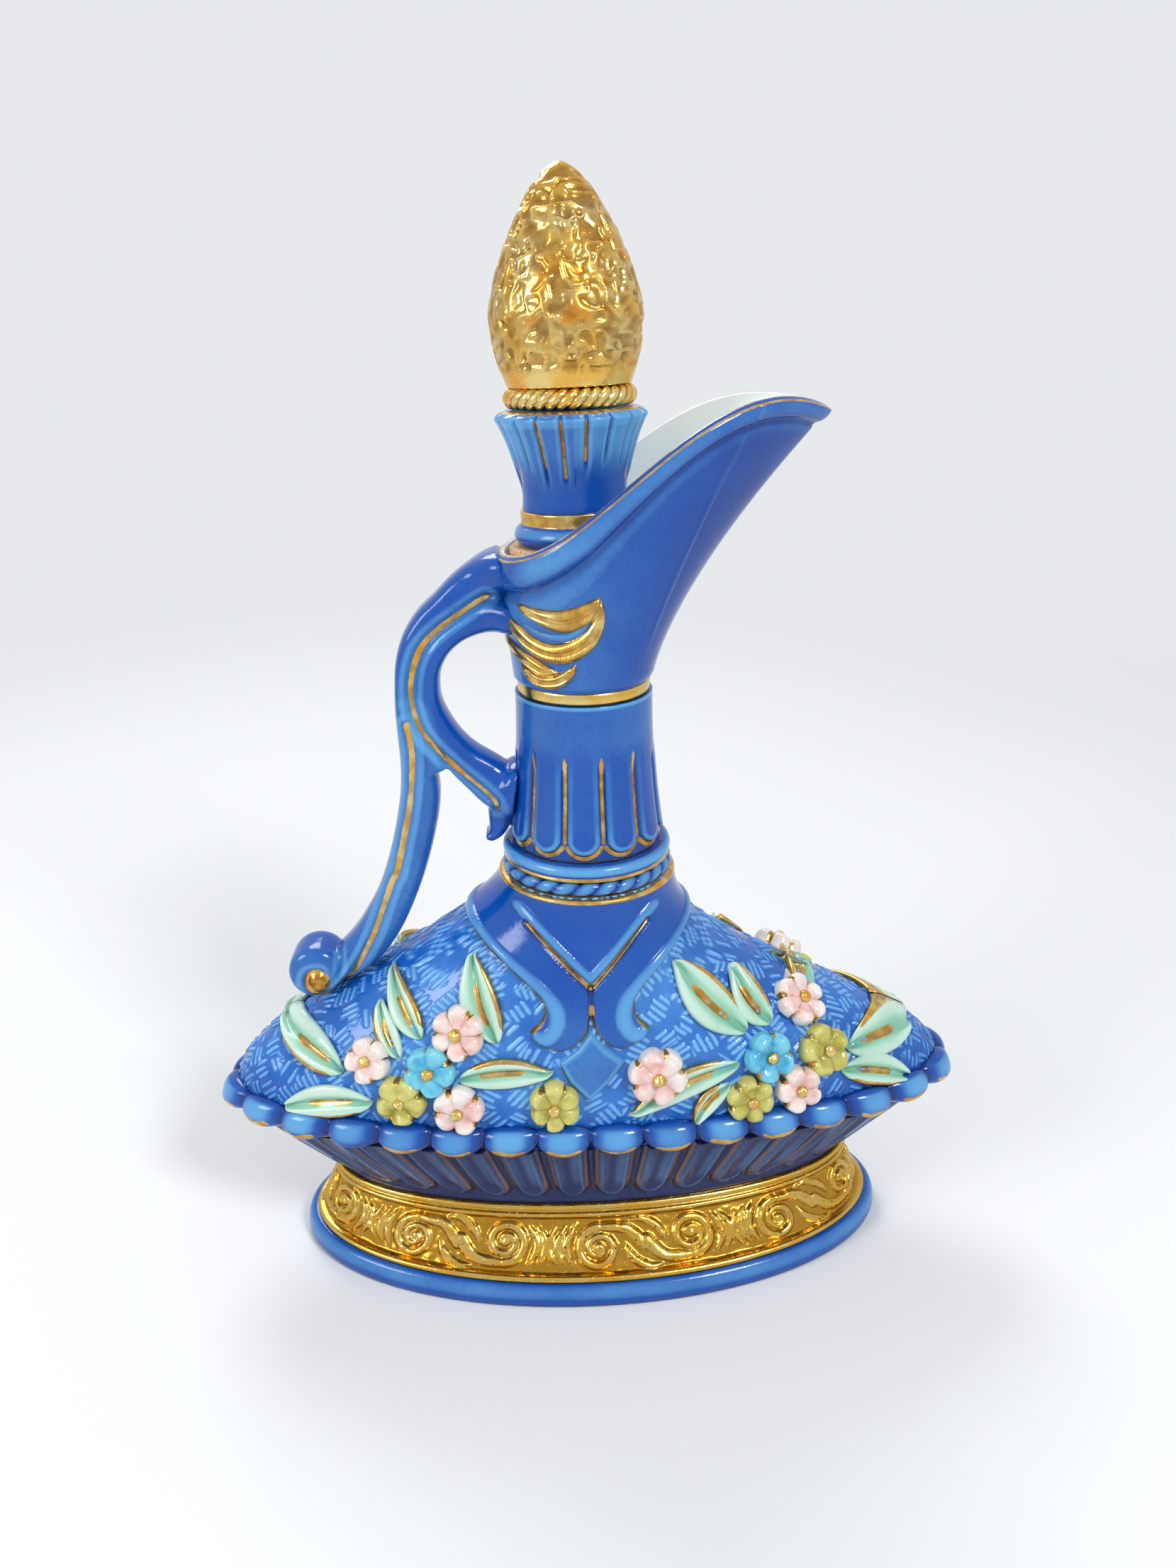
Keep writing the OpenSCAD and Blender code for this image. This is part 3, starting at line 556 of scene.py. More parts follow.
def gold_tint(sheet, hollow):
    """Gold that turns to a darker brown gold by a share (painted shade in hollows, and random brown patches
    on gold lines) and runs from olive yellow to orange.
    """
    tints = settings().colours
    olive, orange = (0.76, 0.58, 0.22), (0.80, 0.36, 0.05)
    bright = sheet.blend(tints.gold, olive, sheet.step(sheet.noise(11.0), 0.38, 0.62))
    bright = sheet.blend(bright, orange, sheet.step(sheet.noise(14.0, warp=0.6), 0.56, 0.72))
    return sheet.blend(bright, tints.brown_and_shaded_gold, hollow)


def glaze(name, base, thin, pooled, mottling=0.35, specks=0.2):
    """A glossy coloured glaze: dark where it pools in hollows and where shade is painted in, pale where it
    runs thin and where a highlight is painted on.
    """
    tints = settings().colours
    sheet = Sheet(bpy.data.materials.new(name))
    cloud = sheet.noise(16.0, 3.0, 0.55) - 0.5
    speck = sheet.noise(1.6, 3.0, 0.6) - 0.5
    spray = sheet.noise(34.0) - 0.5
    # Pale where the glaze runs thin and where a highlight is painted on; dark where it pools and where shade
    # is painted in.
    milk = sheet.mark("milk") + cloud * mottling + spray * 0.5 + speck * specks
    milk = sheet.step(milk, -0.1, 1.15)
    pool = sheet.step(sheet.mark("pool") - cloud * 0.25 - spray * 0.5, 0.05, 1.1)
    tint = sheet.blend(sheet.blend(base, thin, milk), pooled, pool)
    tint = sheet.blend(tint, tints.white, sheet.step(sheet.mark("bare"), 0.3, 0.7))
    tint = sheet.blend(tint, tints.rust, sheet.mark("rust"))
    gilt = gold_share(sheet)
    # Gold strokes on glaze: browner in random patches, and darker where shade is painted in.
    brown = sheet.step(sheet.noise(4.0), 0.36, 0.64)
    tint = sheet.blend(tint, gold_tint(sheet, 0.1 + brown * 0.45 + pool * 0.45), gilt)
    ripple = sheet.noise(2.2) * 0.7 + sheet.noise(0.5) * 0.3
    return sheet.principled({
        "Base Color": tint,
        "Metallic": gilt * 0.9,
        "Roughness": 0.09 + sheet.noise(5.0) * 0.07 + gilt * 0.08,
        "IOR": 1.46,
        "Normal": sheet.bump(ripple, 0.06 + 0.05 * min(specks, 1.0)),
    })


def gilding(name, pits=0.0, dulling=0.0):
    """Bright gold over relief: darker brown gold painted into the hollows as shade, with small casting pits.
    """
    dull_gold, pit_black = (0.58, 0.33, 0.03), (0.035, 0.02, 0.01)
    sheet = Sheet(bpy.data.materials.new(name))
    pitted = sheet.step(sheet.noise(0.75, 1.0, 0.4), 0.66, 0.72) * pits
    # Painted shade: the gold turns to darker brown gold in the hollows.
    hollow = sheet.step(sheet.mark("pool") + (sheet.noise(3.5, 3.0) - 0.5) * 0.5, 0.05, 0.95)
    tint = gold_tint(sheet, hollow * (0.92 - 0.2 * dulling) + 0.2 * dulling)
    # A dulling share makes the whole gold duller and darker.
    tint = sheet.blend(tint, dull_gold, 0.5 * dulling)
    tint = sheet.blend(tint, pit_black, pitted * sheet.mark("milk"))
    height = sheet.noise(1.7) * 0.6 + (1.0 - pitted) * 0.4
    return sheet.principled({
        "Base Color": tint,
        "Metallic": 1.0,
        "Roughness": 0.13 + sheet.noise(2.5, 3.0) * 0.16,
        "Normal": sheet.bump(height, 0.12),
    })


def cork_finish(name):
    """Cork: brown granules with dark pores."""
    granule, pore = (0.66, 0.42, 0.24), (0.08, 0.035, 0.015)
    sheet = Sheet(bpy.data.materials.new(name))
    cells = sheet.node("ShaderNodeTexVoronoi", {"feature": "F1"}, {"Vector": sheet.place(), "Scale": 700.0})
    pores = sheet.step(sheet.noise(1.2, 4.0, 0.7), 0.58, 0.7)
    tint = sheet.blend(settings().colours.cork, granule, sheet.step(cells, 0.0, 0.9))
    return sheet.principled({
        "Base Color": sheet.blend(tint, pore, pores),
        "Roughness": 0.78 + pores * 0.15,
        "Normal": sheet.bump(1.0 - pores, 0.3),
    })


def bisque_finish(name):
    """Unglazed clay, slightly speckled."""
    sheet = Sheet(bpy.data.materials.new(name))
    speck = sheet.step(sheet.noise(0.8, 3.0), 0.55, 0.75)
    return sheet.principled({
        "Base Color": sheet.blend(settings().colours.bisque, (0.45, 0.38, 0.29), speck * 0.5),
        "Roughness": 0.72 + speck * 0.1,
        "Normal": sheet.bump(sheet.noise(0.5, 3.0), 0.06),
    })


def recipes():
    """How each finish is made: a glaze has a base colour, a thin colour that also serves as painted
    highlight, a pooled colour that also serves as painted shade, mottling and specks.
    """
    tints = settings().colours
    return {
        "cobalt": (glaze, tints.cobalt, tints.milk, tints.pool_and_shade_blue),
        "sky": (glaze, tints.ground, (0.17, 0.44, 0.80), tints.pool_and_shade_blue, 0.5),
        "navy": (glaze, tints.navy, (0.07, 0.16, 0.33), (0.002, 0.005, 0.035)),
        "mint": (glaze, tints.mint, tints.leaf_edge, (0.09, 0.36, 0.28), 0.9),
        "pink": (glaze, tints.pink, tints.blush, (0.50, 0.17, 0.17), 1.2, 1.6),
        "yellow": (glaze, tints.yellow, (0.60, 0.58, 0.18), (0.16, 0.12, 0.005), 0.9, 1.1),
        "turquoise": (glaze, tints.turquoise, (0.18, 0.58, 0.72), (0.0, 0.10, 0.32), 0.8, 1.1),
        "gold": (gilding,),
        "chased_gold": (gilding, 1.0),
        "foot_gold": (gilding, 1.0, 1.0),
        "cork": (cork_finish,),
        "bisque": (bisque_finish,),
    }


FINISHES = {}


def finish(name):
    """A finish by name, made once."""
    if name not in FINISHES:
        make, *options = recipes()[name]
        FINISHES[name] = make(name, *options)
    return FINISHES[name]


# Foot: the wall leans in by these amounts over its height.

WALL_IN_X, WALL_IN_Y = 9.0, 15.0
WALL_TOP_X, WALL_TOP_Y = WALL_X - WALL_IN_X, WALL_Y - WALL_IN_Y
WAVE = 62.0
FIELD_LOW, FIELD_HIGH = 0.11, 0.80
FIELD_TALL = 17.0


def make_foot_moulding():
    """The blue oval moulding: a half round between two small steps."""
    profile = curve([(-2.2, 0.0), (-1.0, 0.15), (-0.25, 1.2), (0.0, 3.0), (-0.25, 5.0), (-1.0, 6.8),
                     (-2.2, 7.75), (-3.3, 8.0)], 26)
    rows = np.vstack([profile, [(-9.3, 8.0), (-9.5, 4.0), (-9.3, 0.0)]])
    out, z = rows[:, :1], rows[:, 1:]
    seen = out > -4
    # Pale along the upper part of the half round (painted highlight), darker along its bottom step (painted
    # shade).
    form = Form().add(oval_rows(FOOT_X + out, FOOT_Y + out * 0.85, z, turns_around(400)), along=True,
                      milk=0.5 * ridge(z - 5.7, 2.2) * seen, pool=ridge(z - 0.6, 1.2) * seen)
    form.piece("foot_moulding", "cobalt", ["foot_rim"], "sky_glaze")


def beside(base, side, steps):
    """Knots of a stroke, from steps sideways and up from a base and its half widths."""
    return [(base[0] + side * x, base[1] + side * z, half) for x, z, half in steps]


def scroll_strokes(wave):
    """One wave of the foot's foliage: two scrolls, their stem and fans of leaves."""
    strokes = []
    for side in (1, -1):
        centre = np.array([wave * (0.5 - 0.25 * side), 8.5 - 1.0 * side])
        turn = np.linspace(0, 3.5 * math.pi, 30)
        radius = 6.6 * (1 - turn / (4.1 * math.pi)) ** 0.85
        swing = side * math.pi / 2 + turn
        strokes.append(np.stack([centre[0] + 1.08 * radius * np.cos(swing),
                                 centre[1] + radius * np.sin(swing), 1.65 - 0.07 * turn], -1))
        strokes.append([(*centre, 1.5), (*(centre + (0.3, 0.3)), 1.7)])
        strokes.append(beside(centre, side, [(2.0, 6.6, 1.5), (9.5, 5.6, 1.9), (15.0, 0.6, 2.3)]))
        leaf = centre + (side * 10.5, side * 8.2)
        strokes.append(beside(leaf, side, [(0.0, 0.0, 0.5), (4.5, 0.2, 1.3), (9.5, -2.8, 1.5),
                                           (12.0, -7.0, 0.5)]))
        for fan in range(3 if side > 0 else 2):
            foot = centre + (side * (-7.6 - 3.5 * fan), side * (7.6 - 0.5 * fan))
            bend = foot + (side * (-2.9 + 0.4 * fan), side * -5.4)
            tip = foot + (side * (-0.6 + 0.8 * fan), side * (-12.8 + 0.8 * fan))
            middle = (bend + tip) / 2 + (side * -0.8, 0)
            strokes.append([(*foot, 0.4), (*bend, 1.55), (*middle, 1.35), (*tip, 0.4)])
    return strokes


def foliage(s, v, wave):
    """Relief of the foliage, 0 to 1, at distances along and up the wall."""
    near = np.stack([s % wave, v], -1)
    relief = np.zeros(s.shape)
    for stroke in scroll_strokes(wave):
        stroke = np.asarray(stroke, float)
        for shift in (-wave, 0.0, wave):
            moved = stroke + [shift, 0, 0]
            if moved[:, 0].max() > -3 and moved[:, 0].min() < wave + 3:
                relief = np.maximum(relief, swell(near, moved, 6 * len(stroke)))
    return relief


def make_foot_wall():
    """The gold wall: foliage scrolls between plain beads."""
    wall_h = BOWL_Z - WALL_Z
    turns = turns_around(1000)
    up = np.linspace(0, 1, 58)[:, None]
    bead = 1.15 * (ridge(up - 0.045, 0.05) + ridge(up - 0.945, 0.05) + 0.6 * ridge(up - 0.845, 0.035))
    grid = oval_rows(WALL_X - WALL_IN_X * up, WALL_Y - WALL_IN_Y * up, WALL_Z + wall_h * up, turns)
    middle = oval_rows(WALL_X - WALL_IN_X / 2, WALL_Y - WALL_IN_Y / 2, 0.0, np.append(turns, TAU))
    along = run_along(middle)
    wave = along[-1] / round(along[-1] / WAVE)
    s, v = np.broadcast_arrays(along[:-1], (up - FIELD_LOW) / (FIELD_HIGH - FIELD_LOW) * FIELD_TALL)
    field = ease((up - FIELD_LOW + 0.02) / 0.04) * ease((FIELD_HIGH + 0.02 - up) / 0.04)
    relief = foliage(s, v, wave) * field
    rise = relief * mm(settings().body.scroll_relief) + bead - 1.2 * field
    rise = rise + 0.16 * grain(np.stack([s, v * 1.3], -1), 2.2, 3) * field
    outer = grid + outward(grid) * rise[..., None]
    down = up[::-8]
    inner = oval_rows(WALL_X - CLAY - WALL_IN_X * down, WALL_Y - CLAY - WALL_IN_Y * down,
                      WALL_Z + wall_h * down, turns)
    # Painted shade: darker brown gold in the hollows between the scrolls and in the plain grooves; the
    # raised foliage carries the pits.
    hollow = np.clip(0.95 - 1.2 * relief, 0, 1) * field + 0.55 * (1 - field) * (bead < 0.3)
    pad = partial(padded, shape=relief.shape, after=len(inner))
    form = Form().add(np.concatenate([outer, inner]), along=True, pool=pad(hollow),
                      milk=pad(ease(relief * 1.4) * field))
    form.piece("foot_wall", "foot_gold", ["foot_band"], "gold_lustre")


# Bowl and ruffle: their columns are counted lobe by lobe.

def lobe_columns(per):
    """Turn, number and phase of each column, per columns to a lobe, lobes equally long."""
    body = settings().body
    fine = np.linspace(0, TAU, 2881)
    arc = run_along(oval_rows(WAIST_X, WAIST_Y, 0.0, fine))
    number, phase = columns(body.lobes, per)
    place = (np.arange(len(phase)) / per + body.notch_shift) % body.lobes / body.lobes
    return np.interp(place * arc[-1], arc, fine), number, phase


def make_bowl():
    """The bowl: rounded tongues with a dart between each two."""
    body = settings().body
    per, plain, floor_h = 28, 3.5, 6.0
    turns, _, phase = lobe_columns(per)
    foot_x, foot_y = WALL_TOP_X, WALL_TOP_Y
    top_x, top_y = WAIST_X - 5.0, WAIST_Y - 3.2
    tall = RUFFLE_Z - BOWL_Z
    h = np.linspace(0, tall, 64)[:, None]
    t = np.clip((h - plain) / (tall - plain), 0, 1)
    grid = oval_rows(foot_x + (top_x - foot_x) * t**0.86, foot_y + (top_y - foot_y) * t**0.9,
                     BOWL_Z + h, turns)
    pitch = np.linalg.norm(grid - np.roll(grid, per, 1), axis=-1)
    x = (phase - 0.5) * pitch
    wide = 0.37 * pitch
    low_end = plain - 0.4 + wide
    edge = np.where(h < low_end, np.hypot(x, h - low_end), np.abs(x)) - wide
    tongue = ease(-edge / 1.3) - 0.30 * ridge(x, wide * 0.62) * ease((h - 4.5) / 4)
    dart_x = from_groove(phase) * pitch
    dart_low = plain + 3.2
    dart = np.where(h < dart_low + 0.1 * pitch, np.hypot(dart_x, h - dart_low - 0.1 * pitch),
                    np.abs(dart_x)) - 0.095 * pitch
    rise = mm(body.tongue_relief) * (tongue + 0.45 * ease(-dart / 0.6)) - 0.5 * ridge(edge - 1.0, 0.9)
    outer = grid + outward(grid) * (rise - 0.4 * ease((h - 2) / 3))[..., None]
    rim = ridge(edge + 0.25, 0.42) * ease((h - 2.5) / 1.5) + 0.6 * ridge(dart, 0.35)
    # Painted highlight: pale streaks down each tongue and along its rounded lower end; painted shade in the
    # grooves beside the tongues.
    highlight_streak = 0.5 * ridge(x - wide * 0.42, wide * 0.36) + 0.3 * ridge(x + wide * 0.5, wide * 0.25)
    highlight_streak = highlight_streak * ease((h - low_end + 1) / 4) * ease((tall + 2 - h) / 6) + 0.5 * ridge(edge + 1.0, 1.1)
    under = ovals([(0.0, 0.0, BOWL_Z)], turns)
    inner = ovals([(top_x - CLAY, top_y - CLAY, RUFFLE_Z), (foot_x - CLAY, foot_y - CLAY, BOWL_Z + floor_h),
                   (0.0, 0.0, BOWL_Z + floor_h)], turns)
    pad = partial(padded, shape=x.shape, before=1, after=3)
    form = Form().add(np.concatenate([under, outer, inner]), milk=pad(highlight_streak * ease((h - 3) / 2)),
                      rust=pad(np.clip(rim, 0, 1) * 0.65), pool=pad(ridge(edge - 0.5, 0.6) * 0.8),
                      bare=padded(0.0, (len(h) + 1, 1), after=3, fill=1.0))
    form.piece("gadrooned_bowl", "navy", ["lower_bowl"], "navy_glaze")


def make_ruffle():
    """The ruffled rim: a puffed lobe over each tongue, gilded along its lower edge."""
    body = settings().body
    rows = 40
    turns, number, phase = lobe_columns(30)
    w = 0.04 + 0.96 * np.sin(math.pi * phase) ** 0.56
    uneven = 1 + 0.10 * (scattered(number, 5) - 0.5)
    reach, droop = mm(body.lobe_out) * uneven, mm(body.lobe_droop) * uneven
    zero = w * 0
    edge_z = WAIST_Z - 1.7
    control = np.stack([np.stack([out, z], -1) for out, z in [
        (-5.0 + 1.2 + zero, zero + RUFFLE_Z + 0.2),
        (-3.4 + 0.4 * w, zero + RUFFLE_Z + 1.4),
        (-0.4 + 2.6 * w, edge_z - 2.2 - droop * w * 0.9),
        (1.3 + 0.90 * reach * w, edge_z - 0.9 - droop * w),
        (2.1 + reach * w, edge_z + 0.7 - 0.75 * droop * w),
        (1.4 + 0.78 * reach * w, edge_z + 2.3 + 0.05 * droop * w),
        (0.2 + 0.36 * reach * w, edge_z + 2.6 + 1.7 * w),
        (-1.2 + 0.1 * w, edge_z + 2.0 + 2.0 * w),
        (-2.4 + zero, edge_z + 1.6 + zero),
    ]])
    skin = curve(control, rows)
    out, z = skin[..., 0], skin[..., 1]
    grid = oval_rows(WAIST_X + out, WAIST_Y + out * np.where(out > 0, 0.9, 1.0), z, turns)
    inner = ovals([(WAIST_X - 10.0, WAIST_Y - 8.2, level)
                   for level in (WAIST_Z, 57.0, RUFFLE_Z + 0.2)], turns)
    share = np.linspace(0, 1, rows)[:, None]
    own = scattered(number, 17)
    # Painted highlight on the lobes' upper outer face; painted shade in the notches, towards the shoulder
    # and on the underside.
    lift = (0.65 + 0.5 * own) * ridge(share - 0.57 - 0.03 * own, 0.11) * ease((w - 0.55) / 0.45)
    ragged = 0.5 * grain(np.stack([turns * 60, turns * 0], -1), 2.0)
    gold = 0.85 - np.abs((share - 0.45) * 21.0 + ragged) - 2.5 * (1 - ease((w - 0.55) / 0.25))
    gold = gold - 1.0 * (scatter(np.stack([number, number], -1)) < 0.1)
    dark = np.clip(1.3 - w * 1.7, 0, 1) + 0.7 * ease((share - 0.68) / 0.12) + ease((0.38 - share) / 0.1)
    pad = partial(padded, shape=out.shape, after=len(inner))
    form = Form().add(np.concatenate([grid, inner]), along=True, milk=pad(lift), gilt=pad(gold, fill=-3.0),
                      pool=pad(dark))
    form.piece("ruffle", "cobalt", ["ruffled_rim"], "cobalt_glaze")


# Shoulder: one smooth surface that everything applied is seated on.

SHOULDER_H = NECK_Z - WAIST_Z
SHOULDER_TOP = 26.5
SWELL_SPOUT, SWELL_HANDLE, SWELL_FRONT = 1.22, 0.93, 0.85
GROUP_RISE, GROUP_PITCH = 7.0, 8.4


def shoulder_at(turn, z):
    """The shoulder's surface at a turn and a height."""
    lean = np.cos(turn)
    late = SWELL_HANDLE + (SWELL_SPOUT - SWELL_HANDLE) * ease(0.5 + lean / 0.7)
    u = np.clip((NECK_Z - z) / SHOULDER_H, 0, 1)
    half_x = SHOULDER_TOP + (WAIST_X - SHOULDER_TOP) * ease(u**late)
    half_y = SHOULDER_TOP + (WAIST_Y - SHOULDER_TOP) * ease(u**SWELL_FRONT)
    return xyz(half_x * lean, half_y * np.sin(turn), z)


def shoulder_out(turn, z):
    """Outward direction of the shoulder."""
    small_turn, small_z = 1e-3, 0.05
    across = shoulder_at(turn + small_turn, z) - shoulder_at(turn - small_turn, z)
    return unit(np.cross(across, shoulder_at(turn, z + small_z) - shoulder_at(turn, z - small_z)))


def front_turn(x, z):
    """Turn at which the front of the shoulder has a given x at a height."""
    turn = np.full(np.shape(x), -math.pi / 2)
    for _ in range(12):
        middle = np.abs(np.cos(turn)) < 1e-9
        reach = shoulder_at(turn, z)[..., 0] / np.where(middle, 1.0, np.cos(turn))
        reach = np.where(middle, WAIST_X, reach)
        turn = -np.arccos(np.clip(x / reach, -0.9999, 0.9999))
    return turn


def on_front(x, z, out):
    """Points of the front of the shoulder, lifted off it."""
    turn = front_turn(x, z)
    return shoulder_at(turn, z) + shoulder_out(turn, z) * np.asarray(out)[..., None]


def seat_of(turn, z):
    """Place, outward direction, and two directions along the shoulder at a turn and a height."""
    out = shoulder_out(turn, z)
    flat = unit(np.cross([0.0, 0.0, 1.0], out))
    return shoulder_at(turn, z), out, flat, np.cross(out, flat)


def hatching(points, z, pitch):
    """Short strokes in groups that lie crosswise, 0 to 1."""
    seeds, axes = [], []
    for row, level in enumerate(np.arange(WAIST_Z - 2, NECK_Z, GROUP_RISE)):
        count = int(run_along(shoulder_at(turns_around(360), level))[-1] / GROUP_PITCH)
        key = np.stack([np.arange(count), np.full(count, row)], -1)
        turn = turns_around(count) + (scatter(key) - 0.5) * 2.6 / count + row * 0.37
        level = np.clip(level + (scatter(key + 91) - 0.5) * 2.6, WAIST_Z, NECK_Z)
        seed, _, flat, rise = seat_of(turn, level)
        way = math.pi * (0.25 + 0.5 * (np.arange(count) % 2)) + (scatter(key + 17) - 0.5) * 0.7
        c, s = np.cos(way)[:, None], np.sin(way)[:, None]
        seeds.append(seed)
        axes.append(np.stack([flat * c + rise * s, rise * c - flat * s], 1))
    seeds, axes = np.concatenate(seeds), np.concatenate(axes)
    relief = np.zeros(points.shape[:2])
    for i, row in enumerate(points):
        near = np.flatnonzero(np.abs(seeds[:, 2] - z[i]) < 13)
        gaps = np.linalg.norm(row[:, None] - seeds[near], axis=-1)
        order = np.argsort(gaps, axis=1)[:, :2]
        first = near[order[:, 0]]
        closest = np.take_along_axis(gaps, order, 1)
        local = np.einsum("nkc,nc->nk", axes[first], row - seeds[first])
        stroke = np.floor(local[:, 1] / pitch + 0.5)
        key = np.stack([first, stroke.astype(int) + 50], -1)
        beyond = np.abs(local[:, 0] + (scatter(key) - 0.5) * 2.4) - (1.3 + 1.9 * scatter(key + 7))
        gap = np.hypot(local[:, 1] - stroke * pitch - 0.5 * (scatter(key + 23) - 0.5), np.maximum(beyond, 0))
        clear = ease((closest[:, 1] - closest[:, 0]) / 0.9) * (scatter(key + 41) < 0.88)
        relief[i] = ridge(gap, 0.33 * pitch) * clear
    return relief


def make_shoulder():
    """The hollow shoulder with its hatched ground."""
    body = settings().body
    turns = turns_around(1040)
    level = np.concatenate([np.linspace(WAIST_Z, NECK_Z - 30, 120), np.linspace(NECK_Z - 29.5, NECK_Z, 30)])
    z = level[:, None]
    skin = shoulder_at(turns, z)
    strokes = hatching(skin, level, mm(body.hatch_pitch)) * ease((z - WAIST_Z - 1) / 2)
    rise = strokes * mm(body.hatch_relief) - 0.1
    outer = skin + shoulder_out(turns, z) * rise[..., None]
    core = shoulder_at(turns, np.linspace(NECK_Z, WAIST_Z, 14)[:, None])
    room = np.maximum(np.linalg.norm(core[..., :2], axis=-1) - CLAY, BORE_R)
    inner = np.concatenate([unit(core[..., :2]) * room[..., None], core[..., 2:]], -1)
    # Painted shade: darker just above the waist and towards the spout and handle sides, under the pale hatch
    # strokes.
    shade = 0.35 * ease((WAIST_Z + 14 - z) / 12) + 0.25 * ease(np.abs(np.cos(turns)) * 3 - 2)
    pad = partial(padded, shape=strokes.shape, after=len(inner))
    form = Form().add(np.concatenate([outer, inner]), along=True, milk=pad(0.22 + 0.85 * strokes - shade),
                      pool=pad(np.clip(0.28 - strokes, 0, 1) + shade * 0.6), bare=pad(0.0, fill=1.0))
    form.piece("shoulder", "sky", ["shoulder_shell"], "sky_glaze")


# Cape and straps: x and z of the handle side's lines; the spout side has them drawn in.

CAPE_EDGE = [(-70, 146), (-70, 124), (-40, 122), (-36, 121), (-29, 117), (-21, 111), (-16.2, 106.3),
             (-15.2, 102.5), (-16.8, 99), (-19.6, 96.6), (-19, 93.6), (-15.5, 91.4), (-10, 90), (-5, 92.6),
             (-2, 96.5), (-0.8, 100.5)]
STRAP_GOLD = [(-36, 120.9), (-29, 116.9), (-21, 110.9), (-16.2, 106.2), (-15.3, 102.5), (-16.8, 99.1),
              (-19.6, 96.6)]
NECKLINE = [(-19, 128), (-14, 123.4), (-7, 116), (-0.9, 110)]
HOOK_GOLD = [(-0.9, 104), (-1.2, 99), (-3, 95), (-6, 91.9), (-10, 90), (-15.5, 91.4)]
OUTER_RIDGE = [(-44, 126), (-33, 120.5), (-24, 115), (-16.5, 109.5), (-12, 104.5), (-11.2, 100), (-13, 96),
               (-16.5, 94.2), (-19.6, 95.6)]
INNER_RIDGE = [(-21, 132), (-17, 128.7), (-8, 119.5), (-1, 112.3)]
SEAM = [(-0.9, 110), (-0.9, 96.5)]
MIDDLE_X = -0.8
OTHER_SIDE = 0.93
LOZENGE = [(-1.2, 96.5), (-5.5, 91.0), (-11.5, 86.5), (-8.4, 80.0), (-2, 73.0), (4.6, 79.5), (9.4, 86),
           (3.4, 91.0)]


def to_other_side(line):
    """The same line on the spout side."""
    line = np.asarray(line, float)
    return np.stack([MIDDLE_X - (line[:, 0] - MIDDLE_X) * OTHER_SIDE, line[:, 1]], -1)


def both_ways(place, line):
    """Distance to a smooth line or to its image on the spout side."""
    smooth = curve(line, 40)
    return np.minimum(away(place, smooth), away(place, to_other_side(smooth)))


def make_cape():
    """The cobalt cape and its S-shaped straps, laid over the shoulder."""
    turns = turns_around(900)
    z = np.linspace(NECK_Z + 0.6, 88.0, 150)[::-1][:, None]
    place = shoulder_at(turns, z)
    flat = place[..., [0, 2]]
    edge = np.vstack([CAPE_EDGE[:2], curve(CAPE_EDGE[2:], 90)])
    depth = inside(flat, np.vstack([edge, to_other_side(edge)[::-1]]))
    neckline = both_ways(flat, NECKLINE)
    crest = np.maximum(ridge(both_ways(flat, OUTER_RIDGE), 2.6), ridge(both_ways(flat, INNER_RIDGE), 2.0))
    seam = away(flat, SEAM)
    relief = mm(settings().body.cape_relief)
    rise = -0.9 + (relief + 0.9) * ease((depth + 1.0) / 2.2)
    rise = rise + 0.75 * crest * ease(depth / 2) - 1.0 * ridge(neckline, 1.3) - 0.8 * ridge(seam, 0.9)
    rise = rise - 3.2 * ease((z - NECK_Z + 0.9) / 1.5)
    grid = place + shoulder_out(turns, z) * rise[..., None]
    gold = np.maximum(0.8 - both_ways(flat, STRAP_GOLD), 0.78 - neckline)
    gold = np.maximum(gold, 0.7 - both_ways(flat, HOOK_GOLD))
    gold = np.maximum(gold, 1.7 - (NECK_Z + 0.2 - z))
    # Darker along the neckline, the seam and the cape's edge (painted shade); pale on the crests (painted
    # highlight), paler towards the bottom.
    pool = ridge(neckline, 2.2) * 0.6 + ridge(seam, 1.4) * 0.8 + ridge(depth - 0.2, 1.0) * 0.5
    form = Form().add(grid, keep=depth > -1.6, gilt=gold, milk=crest * 0.75 + 0.2 * ease((112 - z) / 16),
                      pool=pool)
    form.piece("cape_and_straps", "cobalt", ["mantle", "mantle_straps"], "cobalt_glaze")


def make_pendants():
    """Lozenges below the straps, front and back, with gold on two of their sides."""
    x, z = np.broadcast_arrays(np.linspace(-15, 12, 90), np.linspace(70, 99, 90)[:, None])
    place = np.stack([x, z], -1)
    depth = inside(place, LOZENGE)
    rise = -0.9 + 2.3 * ease((depth + 0.9) / 2.0) + 0.5 * ease(depth / 5)
    gold = np.maximum(0.6 - away(place, [(-11.4, 86.0), (-8.3, 79.8), (-4.6, 75.4)]),
                      0.6 - away(place, [(9.3, 85.6), (6.2, 81.2), (2.8, 77.4)]))
    # Pale just inside the raised edge, a painted highlight.
    form = Form().both(on_front(x, z, rise), {"gilt": gold, "milk": 0.45 + 0.4 * ridge(depth - 0.8, 1.2)},
                       around=False, keep=depth > -1.5)
    form.piece("pendant_lozenges", "cobalt", ["pendants"], "navy_glaze")


# Leaves: stalk end x, z, tip x, z, half width, bend and side of the gilded edge.

